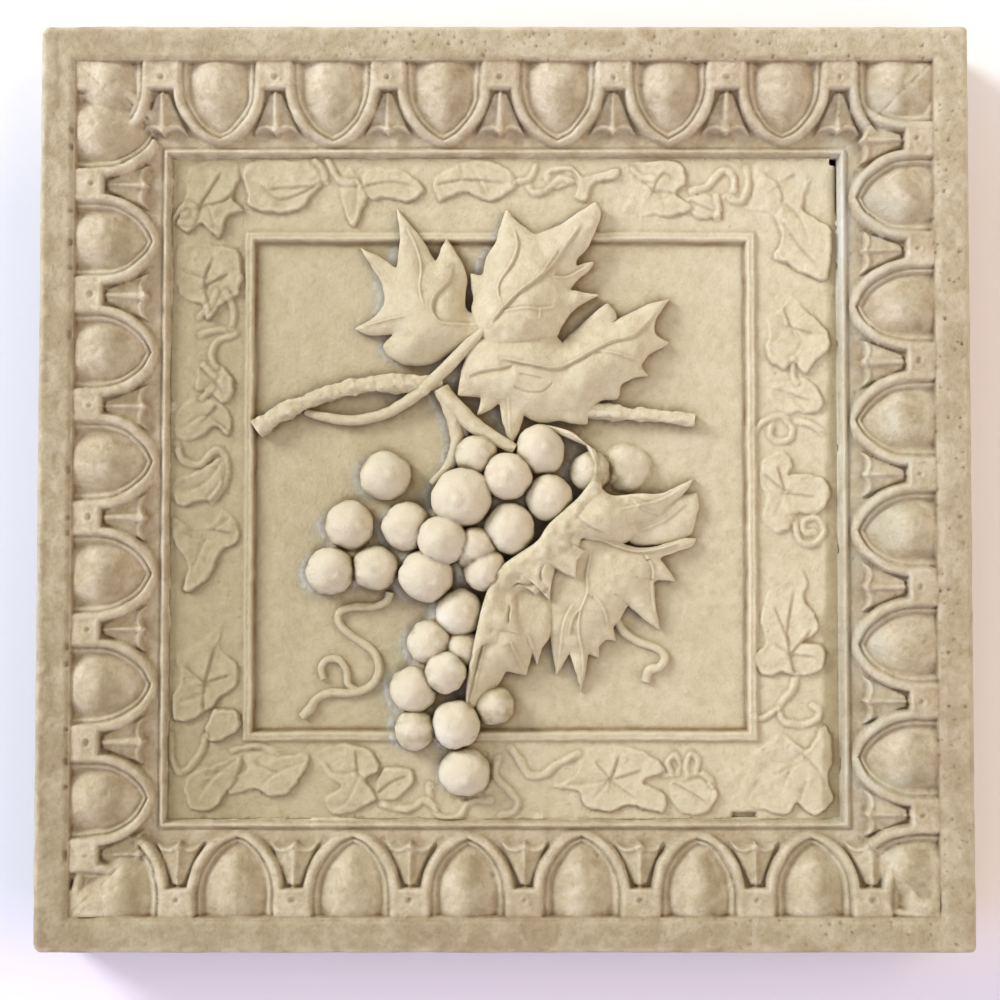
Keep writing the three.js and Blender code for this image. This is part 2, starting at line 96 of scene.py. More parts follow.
PRIMER_HEX = "#D6DAD0"              # whitish primer under the cream paint
LOW_PRIMER_GREY_HEX = "#BDBDA5"           # grey-green where the primer share is low
GLAZE_AND_SHADE_HEX = "#A2835C"               # brown glaze and painted shade in the hollows
RUBBED_AND_HIGHLIGHT_HEX = "#F1E8D2"              # high edges rubbed pale, with a painted highlight
OLIVE_HEX = "#DDD6C6"               # cool patches in the paint
SPECKLE_HEX = "#E4DCCB"             # fine dirt held by the grain
WARM_LIT_WALL_HEX = "#EFE6DC"           # painted warm light on the wall to the right of the plaque
LIT_TOP_WALL_HEX = "#F0F0F0"            # painted light on the wall above it
FOOT_WALL_LIGHT_HEX = "#E6E2F0"           # painted light on the wall below it

# Stage lengths are metres.
WALL_HALF = 1.5
WALL_LIFT = 1.1
WALL_GAP = 0.0015                   # behind the plaque's back
FLOOR_REACH = 2.4
WINDOW_AT = (-1.65, -0.95, 1.15)
ROOM_AT = (1.6, -1.6, 0.5)
SKY_STRENGTH = 0.48
SENSOR = 36.0
LENS_PER_METRE = SENSOR * 3.693     # lens for each metre of distance: the picture spans 1 / 3.693 m
LENS_SHIFT = (-0.0045, -0.015)
CAMERA_TILT = math.radians(2.27)


# ---- small helpers ---------------------------------------------------------------------------

def linear(hex_colour):
    """A hex sRGB colour as linear RGBA."""
    parts = [int(hex_colour[i:i + 2], 16) / 255 for i in (1, 3, 5)]
    return [c / 12.92 if c <= 0.04045 else ((c + 0.055) / 1.055) ** 2.4 for c in parts] + [1.0]


def smooth(edge0, edge1, value):
    """Smooth step from 0 at edge0 to 1 at edge1."""
    s = np.clip((value - edge0) / (edge1 - edge0), 0.0, 1.0)
    return s * s * (3.0 - 2.0 * s)


def bell(value, width):
    """A round bump of height 1 and the given half width."""
    return np.exp(-(value / width) ** 2)


def mix(a, b, share):
    return a + (b - a) * share


def round_over(away):
    """How far a quarter round has fallen: 0 at its crest, 1 where away reaches 1."""
    return 1.0 - np.sqrt(np.clip(1.0 - away ** 2, 0.0, 1.0))


def lumps(x, z, cell, seed):
    """Seeded smooth noise between -1 and 1 with bumps about one cell across."""
    table = np.random.default_rng(seed).uniform(-1.0, 1.0, (64, 64))
    gx, gz = x / cell + 1000.0, z / cell + 1000.0
    ix, iz = np.floor(gx).astype(int), np.floor(gz).astype(int)
    fx, fz = smooth(0, 1, gx - ix), smooth(0, 1, gz - iz)
    a, b = table[ix % 64, iz % 64], table[(ix + 1) % 64, iz % 64]
    c, d = table[ix % 64, (iz + 1) % 64], table[(ix + 1) % 64, (iz + 1) % 64]
    return mix(mix(a, b, fx), mix(c, d, fx), fz)


def brushed(x, z, seed):
    """Uneven cast and painted surface: three sizes of lump, about 0 on average."""
    return (0.5 * lumps(x, z, 9.0, seed) + 0.3 * lumps(x, z, 3.7, seed + 1)
            + 0.2 * lumps(x, z, 1.6, seed + 2))


def pits(x, z, cell, share, seed):
    """Scattered round pits, 1 at the middle of a pit: one chance of a pit in each cell."""
    rng = np.random.default_rng(seed)
    chance = rng.uniform(0, 1, (64, 64))
    px, pz = rng.uniform(0.25, 0.75, (64, 64)), rng.uniform(0.25, 0.75, (64, 64))
    size = rng.uniform(0.10, 0.24, (64, 64))
    gx, gz = x / cell + 1000.0, z / cell + 1000.0
    ix, iz = np.floor(gx).astype(int) % 64, np.floor(gz).astype(int) % 64
    away = np.hypot(gx % 1.0 - px[ix, iz], gz % 1.0 - pz[ix, iz])
    return np.where(chance[ix, iz] < share, smooth(1.0, 0.3, away / size[ix, iz]), 0.0)


def spline(points, per_mm=1.6, closed=False, corners=()):
    """A smooth line through the points, straight-tangented at the corners, evenly divided."""
    p = np.asarray(points, float)
    n = len(p)
    spans = n if closed else n - 1
    out = []
    for k in range(spans):
        a, b = p[k], p[(k + 1) % n]
        before = p[(k - 1) % n] if closed or k > 0 else a
        after = p[(k + 2) % n] if closed or k + 2 < n else b
        ta = (b - a) * 0.9 if k in corners else (b - before) / 2
        tb = (b - a) * 0.9 if (k + 1) % n in corners else (after - a) / 2
        steps = max(2, int(round(np.linalg.norm((b - a)[:2]) * per_mm)))
        s = (np.arange(steps) / steps)[:, None]
        h = (2 * s**3 - 3 * s**2 + 1) * a + (s**3 - 2 * s**2 + s) * ta
        out.append(h + (3 * s**2 - 2 * s**3) * b + (s**3 - s**2) * tb)
    if not closed:
        out.append(p[-1:])
    return np.concatenate(out)


def line_distance(x, z, line, reach=4.0):
    """Distance, side (+1 left) and share along, from points to a polyline of (x, z)."""
    best = np.full(x.shape, 1e9)
    side, along = np.zeros(x.shape), np.zeros(x.shape)
    near = ((x > line[:, 0].min() - reach) & (x < line[:, 0].max() + reach)
            & (z > line[:, 1].min() - reach) & (z < line[:, 1].max() + reach))
    px, pz = x[near], z[near]
    b, s, t = best[near], side[near], along[near]
    count = len(line) - 1
    for k in range(count):
        a, e = line[k], line[k + 1] - line[k]
        length2 = max(float(e @ e), 1e-9)
        u = np.clip(((px - a[0]) * e[0] + (pz - a[1]) * e[1]) / length2, 0, 1)
        dx, dz = px - a[0] - u * e[0], pz - a[1] - u * e[1]
        d = np.hypot(dx, dz)
        hit = d < b
        b = np.where(hit, d, b)
        s = np.where(hit, np.sign(e[0] * dz - e[1] * dx), s)
        t = np.where(hit, (k + u) / count, t)
    best[near], side[near], along[near] = b, s, t
    return best, side, along


def outline_distance(x, z, outline, reach=3.0):
    """Signed distance to a closed outline, positive inside."""
    ring = np.vstack([outline, outline[:1]])
    away, _, _ = line_distance(x, z, ring, reach)
    near = away < 1e8
    px, pz = x[near], z[near]
    inside = np.zeros(px.shape, bool)
    for (ax, az), (bx, bz) in zip(ring[:-1], ring[1:]):
        crosses = (az > pz) != (bz > pz)
        with np.errstate(divide="ignore", invalid="ignore"):
            at = (bx - ax) * (pz - az) / (bz - az) + ax
        inside ^= crosses & (px < at)
    signed = np.full(x.shape, -1e9)
    signed[near] = np.where(inside, away[near], -away[near])
    return signed


def grid_mesh(name, rows, cols, place):
    """One operator grid of rows x cols faces, with each vertex put at place(row, col) in mm."""
    bm = bmesh.new()
    bmesh.ops.create_grid(bm, x_segments=cols, y_segments=rows, size=0.5)
    mesh = bpy.data.meshes.new(name)
    bm.to_mesh(mesh)
    bm.free()
    points = read_points(mesh)
    col = np.rint((points[:, 0] + 0.5) * cols).astype(int)
    row = np.rint((points[:, 1] + 0.5) * rows).astype(int)
    write_points(mesh, place(row, col) * MM)
    return mesh


def read_points(mesh):
    points = np.empty(len(mesh.vertices) * 3, np.float32)
    mesh.vertices.foreach_get("co", points)
    return points.reshape(-1, 3).astype(float)


def write_points(mesh, points):
    mesh.vertices.foreach_set("co", np.asarray(points, np.float32).ravel())
    mesh.update()


def close_up(mesh, reach=0.002):
    """Weld the seams and poles of a wrapped grid, and turn its faces outward."""
    bm = bmesh.new()
    bm.from_mesh(mesh)
    bmesh.ops.remove_doubles(bm, verts=bm.verts, dist=reach * MM)
    bmesh.ops.dissolve_degenerate(bm, edges=bm.edges, dist=reach * MM)
    bmesh.ops.recalc_face_normals(bm, faces=bm.faces)
    if bm.calc_volume(signed=True) < 0:
        bmesh.ops.reverse_faces(bm, faces=bm.faces)
    bm.to_mesh(mesh)
    bm.free()
    return mesh


def place_object(name, mesh):
    piece = bpy.data.objects.new(name, mesh)
    bpy.context.scene.collection.objects.link(piece)
    return piece


def settled(piece):
    """Apply all modifiers of the piece to its mesh."""
    graph = bpy.context.evaluated_depsgraph_get()
    done = bpy.data.meshes.new_from_object(piece.evaluated_get(graph))
    piece.modifiers.clear()
    piece.data = done
    return piece


def thin_to(piece, faces):
    """Collapse the flattest faces down to about this many triangles, and stay in the solids' box."""
    piece.data.calc_loop_triangles()
    count = len(piece.data.loop_triangles)
    if count > faces:
        cut = piece.modifiers.new("thin", "DECIMATE")
        cut.ratio = faces / count
        settled(piece)
    points = read_points(piece.data)
    write_points(piece.data, np.clip(points, CAD_BOX[0], CAD_BOX[1]))


def check_closed(piece):
    """Raise an error where a piece has an open or doubled edge."""
    bm = bmesh.new()
    bm.from_mesh(piece.data)
    loose = sum(1 for edge in bm.edges if len(edge.link_faces) != 2)
    bm.free()
    if loose:
        raise RuntimeError(f"{piece.name} isn't closed: {loose} edges")


def fused(base, others):
    """Join closed pieces into one solid skin."""
    for piece in [base, *others]:
        check_closed(piece)
    group = bpy.data.collections.new("casting")
    for other in others:
        bpy.context.scene.collection.objects.unlink(other)
        group.objects.link(other)
    joiner = base.modifiers.new("join", "BOOLEAN")
    joiner.operation = "UNION"
    joiner.operand_type = "COLLECTION"
    joiner.collection = group
    joiner.solver = "MANIFOLD"
    settled(base)
    for other in others:
        bpy.data.objects.remove(other)
    bpy.data.collections.remove(group)
    return base


# ---- egg-and-dart frame ----------------------------------------------------------------------

# Half outlines of one egg unit as (across, inward from the border's inner edge).
EGG_LINE = [(0, -4.0), (4.6, -3.4), (7.0, -1.2), (7.8, 2.4), (8.0, 6.2), (7.7, 10), (6.6, 12.8),
            (4.9, 15.2), (2.6, 17.4), (0, 18.9)]
INNER_RIM = [(9.2, -6), (9.3, 1), (9.3, 6), (8.8, 10), (7.6, 13), (5.7, 15.9), (3.1, 18.4), (0, 20.0)]
RIM_FOOT = [(12.8, -6), (12.9, 1), (12.9, 6), (12.2, 10.5), (10.8, 14.4), (8.5, 17.7), (5.0, 20.9),
            (0, 22.9)]
UNIT_MIDDLE = 6.0
DART_TOP = 8.0
# First egg and pitch of the top, right, bottom and left sides.
SIDES = ((-109.5, 31.0), (-110.8, 30.8), (-114.9, 31.27), (-115.2, 30.4))


def envelope(t):
    """Depth of the convex surface that the ornament was cut back from."""
    return 0.6 + 7.6 * round_over(t / 23.0)


def radial(line, angle):
    """Distance from the unit's middle to a half outline in the given direction."""
    curve = spline(line, per_mm=4)
    dx, dt = curve[:, 0], curve[:, 1] - UNIT_MIDDLE
    turn = np.arctan2(dt, dx)
    order = np.argsort(turn)
    return np.interp(angle, turn[order], np.hypot(dx, dt)[order])


def hand_cut(index, seed, spread):
    """A small seeded change from one unit to the next."""
    table = np.random.default_rng(seed).uniform(-spread, spread, 64)
    return table[index % 64]


def nearest_unit(side, u):
    """Number of the egg unit nearest to u, how far past its middle u is, and the side's pitch."""
    first, pitch = SIDES[side]
    index = np.rint((u - first) / pitch).astype(int)
    return index + 11 * side + 16, u - first - pitch * index, pitch


def dart_depth(e, t):
    """The pleated dart between two husks, its bracket edge and the arched hollows below it."""
    away = np.abs(e)
    rib = 0.35 + 0.05 * np.clip(t - DART_TOP, 0, 12)
    tent = 3.2 + 0.20 * (t - DART_TOP) + 0.24 * away
    tent -= 0.95 * smooth(1.0, 0.15, away / (1.7 * rib))
    bracket = 19.5 - 1.6 * np.abs(np.sin(np.pi * e / 6.4)) ** 0.8
    tent -= 0.8 * bell(bracket - 0.5 - t, 0.7)
    half = 1.5 + 5.2 * np.clip((t - DART_TOP) / 11.6, 0, 1.2)
    standing = smooth(-0.1, 0.6, half - away) * smooth(0.5, -0.1, t - bracket)
    hollow = mix(tent + 1.2, 7.8, smooth(14.0, 19.0, t))
    slot = 1.4 * smooth(1.6, 1.1, away) * smooth(8.7, 8.2, t)
    return mix(hollow, tent, standing) + slot


def ornament_depth(side, u, t, egg_rise):
    """Depth of the carved band at u along the side and t inward."""
    tag, past, pitch = nearest_unit(side, u)
    across = past - hand_cut(tag, 5, 0.35)
    size = 1.0 + hand_cut(tag, 6, 0.025)
    wave = 0.20 * lumps(u, t, 3.5, 33)
    ax, at = np.abs(across) / size, (t - UNIT_MIDDLE) / size
    angle, r = np.arctan2(at, ax), np.hypot(ax, at) + wave
    egg, inner, foot = (radial(line, angle) for line in (EGG_LINE, INNER_RIM, RIM_FOOT))
    top = envelope(t)

    # The egg, roundly domed, with small dints left by the mould.
    q = np.clip(r / egg, 0, 1)
    egg_depth = top - 0.2 + (egg_rise + 0.3) * q ** 2.0 + 0.22 * lumps(u, t, 4.6, 31)
    for seed in (7, 12, 17):
        dint = np.hypot(across - hand_cut(tag, seed, 2.4), t - 7.5 - hand_cut(tag, seed + 1, 3.0))
        egg_depth += (0.22 + hand_cut(tag, seed + 2, 0.22)) * bell(dint, 0.7)

    # The husk: a narrow moat, a thin inner ridge, a groove and the stout round outer ridge.
    share = np.clip((r - egg) / (inner - egg), 0, 1)
    moat = top + egg_rise + 0.1 - 1.3 * smooth(0.15, 1.0, share)
    band = np.clip((r - inner) / (foot - inner), 0, 1)
    outer_ridge = 0.45 + 1.5 * round_over((band - 0.66) / 0.42)
    inner_ridge = egg_rise - 1.2 + 0.5 * smooth(0.0, 0.22, band)
    rims = top + mix(inner_ridge, outer_ridge, smooth(0.22, 0.36, band))
    husk = np.where(r < inner, moat, rims)

    # Beyond the husk: the strap above, the dart below.
    e = across - np.sign(across) * pitch / 2
    dimple = np.hypot(e, t - 4.6)
    strap = top + 0.55 + 0.7 * bell(dimple, 0.7) - 0.3 * bell(dimple - 1.2, 0.4) - 0.35 * bell(t - 6.9, 0.8)
    strap = mix(rims, strap, smooth(-2.0, 0.5, r - foot))
    wall = mix(rims, dart_depth(e, t), smooth(-0.35, 0.45, r - foot))
    beyond = mix(strap, wall, smooth(7.3, 7.9, t))

    depth = np.where(r < egg, egg_depth, np.where((r < foot - 2.0) | (r < inner), husk, beyond))
    return np.minimum(depth, mix(9.0, 8.3, smooth(20.0, 22.4, t)))


def frame_depth(side, u, t, settings):
    """Depth of the frame's front at u along the side and t inward from the border's inner edge."""
    rise = settings.egg_rise / MM
    carved = ornament_depth(side, u, t, rise)
    edge = 0.7 * smooth(-1.9, -0.1, t) ** 2.0
    lip = t + 0.22 * lumps(u, t, 4.2, 41)
    depth = mix(edge, carved, smooth(-0.1, 0.5, lip))
    depth = mix(depth, 8.3, smooth(22.3, 22.9, t + 0.15 * lumps(u, t, 7.0, 42)))
    band = 6.7 + 0.25 * lumps(u, t, 9.0, 43) + 0.5 * smooth(24.0, 23.3, t) + 1.9 * smooth(24.2, 25.1, t)
    return mix(depth, band, smooth(22.9, 23.5, t))


def mitred_depth(side, u, outward, t, settings):
    """Depth where a side meets its neighbours: whichever ornament stands higher, with a rough seam."""
    depth = frame_depth(side, u, t, settings)
    for turn in (1, -1):
        neighbour = (side + turn) % 4
        inset = (HALF_W if neighbour % 2 else HALF_H) - turn * u - BORDER
        near = (inset < 21.0) & (t > 0.2)
        other = frame_depth(neighbour, -turn * outward[near], inset[near], settings)
        seam = (0.35 + 0.3 * lumps(u[near], t[near], 1.8, 47)) * bell((inset[near] - t[near]) / 1.4, 0.45)
        depth[near] = np.minimum(depth[near], other) + seam * smooth(0.2, 1.5, t[near])
    return depth


def frame_rows():
    """Inset from the outer edge and y of each row round the frame's section."""
    def stretch(a, b, count):
        return [(mix(a[0], b[0], k / count), mix(a[1], b[1], k / count)) for k in range(count)]

    edge = BORDER + OPENING
    rows = stretch((edge, 0), (0, 0), 6) + stretch((0, 0), (0, 2.0 - FRONT), 8)
    rows += [(2.0 - 2.0 * math.cos(a), 2.0 - FRONT - 2.0 * math.sin(a))
             for a in np.radians([0, 18, 36, 54, 72])]
    # Start, end and number of rows of each stretch of the front, closest over the ornament's edge.
    front = [(2.0, 7.1, 8), (7.1, 9.4, 5), (9.4, 10.1, 4), (10.1, 32.0, 58), (32.0, edge, 9)]
    for start, end, count in front:
        rows += [(mix(start, end, k / count), math.nan) for k in range(count)]
    # Paint has run into the joint with the tile and bridges it.
    joint, face = 0.9 * (HALF_W - edge - TILE_W), FRIEZE_DEPTH - FRONT
    rows += [(edge, math.nan), (edge + 0.4 * joint, face - 0.05)]
    rows += [(edge + joint, face + 0.15), (edge + joint, face + 2.6)]
    rows += stretch((edge, face + 3.0), (edge, 0), 4) + [(edge, 0)]
    return np.array(rows)


def frame_place(settings):
    """The vertex rule of the frame's wrapped grid."""
    rows, per_side = frame_rows(), FRAME_STEPS
    bead_edge = rows[:, 0].max()

    def place(row, col):
        side, step = np.divmod(col % (4 * per_side), per_side)
        along = 2.0 * step / per_side - 1.0
        # Paint closes the joint nearly everywhere, but not down from the top right corner.
        open_slit = (side == 1) & (-along * (HALF_H - bead_edge) > SLIT_FOOT)
        closed = smooth(-0.75, -0.5, lumps(along * HALF_W, 40.0 * side, 5.0, 44)) * ~open_slit
        inset = rows[row, 0] + 0.45 * closed * (rows[row, 0] == bead_edge)
        upright = side % 2 == 0
        half_out = np.where(upright, HALF_H, HALF_W) - inset
        half_len = np.where(upright, HALF_W, HALF_H) - inset
        u = along * half_len
        depth = np.zeros(len(row))
        front = np.isnan(rows[row, 1])
        for s in range(4):
            pick = front & (side == s)
            depth[pick] = mitred_depth(s, u[pick], half_out[pick], inset[pick] - BORDER, settings)
        y = np.where(front, depth - FRONT, np.nan_to_num(rows[row, 1]))
        x = np.choose(side, [u, half_out, -u, -half_out])
        z = np.choose(side, [half_out, -u, -half_out, u])
        return weather_frame(x, y, z, inset, front, settings)

    return place, len(rows) - 1, 4 * per_side


def border_pits(x, z, inset):
    """Pits that the mould left in the border: scattered everywhere, with a row down its left inner edge."""
    marks = pits(x, z, 3.4, 0.26, 61) + 0.8 * pits(x + 40, z, 2.1, 0.22, 66)
    marks *= 0.35 + 0.65 * smooth(-60, 60, x + 0.4 * z)
    row = bell(inset - 8.7, 0.40) * smooth(0.35, 0.7, lumps(z, 0 * z, 2.2, 68)) * (x < 10 - HALF_W)
    return np.maximum(marks, 1.3 * row)


def weather_frame(x, y, z, inset, front, settings):
    """Round the standing corners, then rough up the border and wobble the edges."""
    r = np.where(x > 0, RIGHT_CORNER, LEFT_CORNER)
    dx, dz = np.abs(x) - (HALF_W - r), np.abs(z) - (HALF_H - r)
    corner = (dx > 0) & (dz > 0)
    ratio = np.maximum(dx, dz) / np.maximum(np.hypot(dx, dz), 1e-9)
    x = np.where(corner, np.sign(x) * (HALF_W - r + dx * ratio), x)
    z = np.where(corner, np.sign(z) * (HALF_H - r + dz * ratio), z)
    border = smooth(0.5, 3.0, inset) * smooth(10.2, 8.8, inset)
    depth = settings.pit_depth / MM
    rough = 0.22 + 0.40 * brushed(x, z, 51) + depth * border_pits(x, z, inset)
    flaked = lumps(x * 1.6, z, 8.0, 53) + 0.35 * lumps(x, z, 2.6, 54)
    rough += 0.40 * smooth(-0.05, 0.12, flaked) * smooth(8.0, 5.5, inset) * (x < 9 - HALF_W)
    y = y + np.where(front | (inset < 3), border * rough, 0.0)
    carved = smooth(9.5, 11.0, inset) * smooth(34.2, 33.0, inset)
    y = y + np.where(front, carved * (0.10 * brushed(x, z, 71) + 0.3 * pits(x, z, 4.5, 0.12, 81)), 0.0)
    outer = smooth(3.0, 0.0, inset) * smooth(0.0, 3.0, -y)
    bite = outer * np.maximum(0.14 + 0.18 * brushed(x + 3 * y, z + 3 * y, 91), 0.02)
    x = x - np.sign(x) * bite * (np.abs(x) > HALF_W - 3)
    z = z - np.sign(z) * bite * (np.abs(z) > HALF_H - 3)
    y = np.where(front | (y < -FRONT + 2.1), y + outer * 0.10, y)
    return np.stack([x, np.minimum(np.maximum(y, -FRONT), 0.0), z], axis=1)


# ---- frieze of the tile ----------------------------------------------------------------------

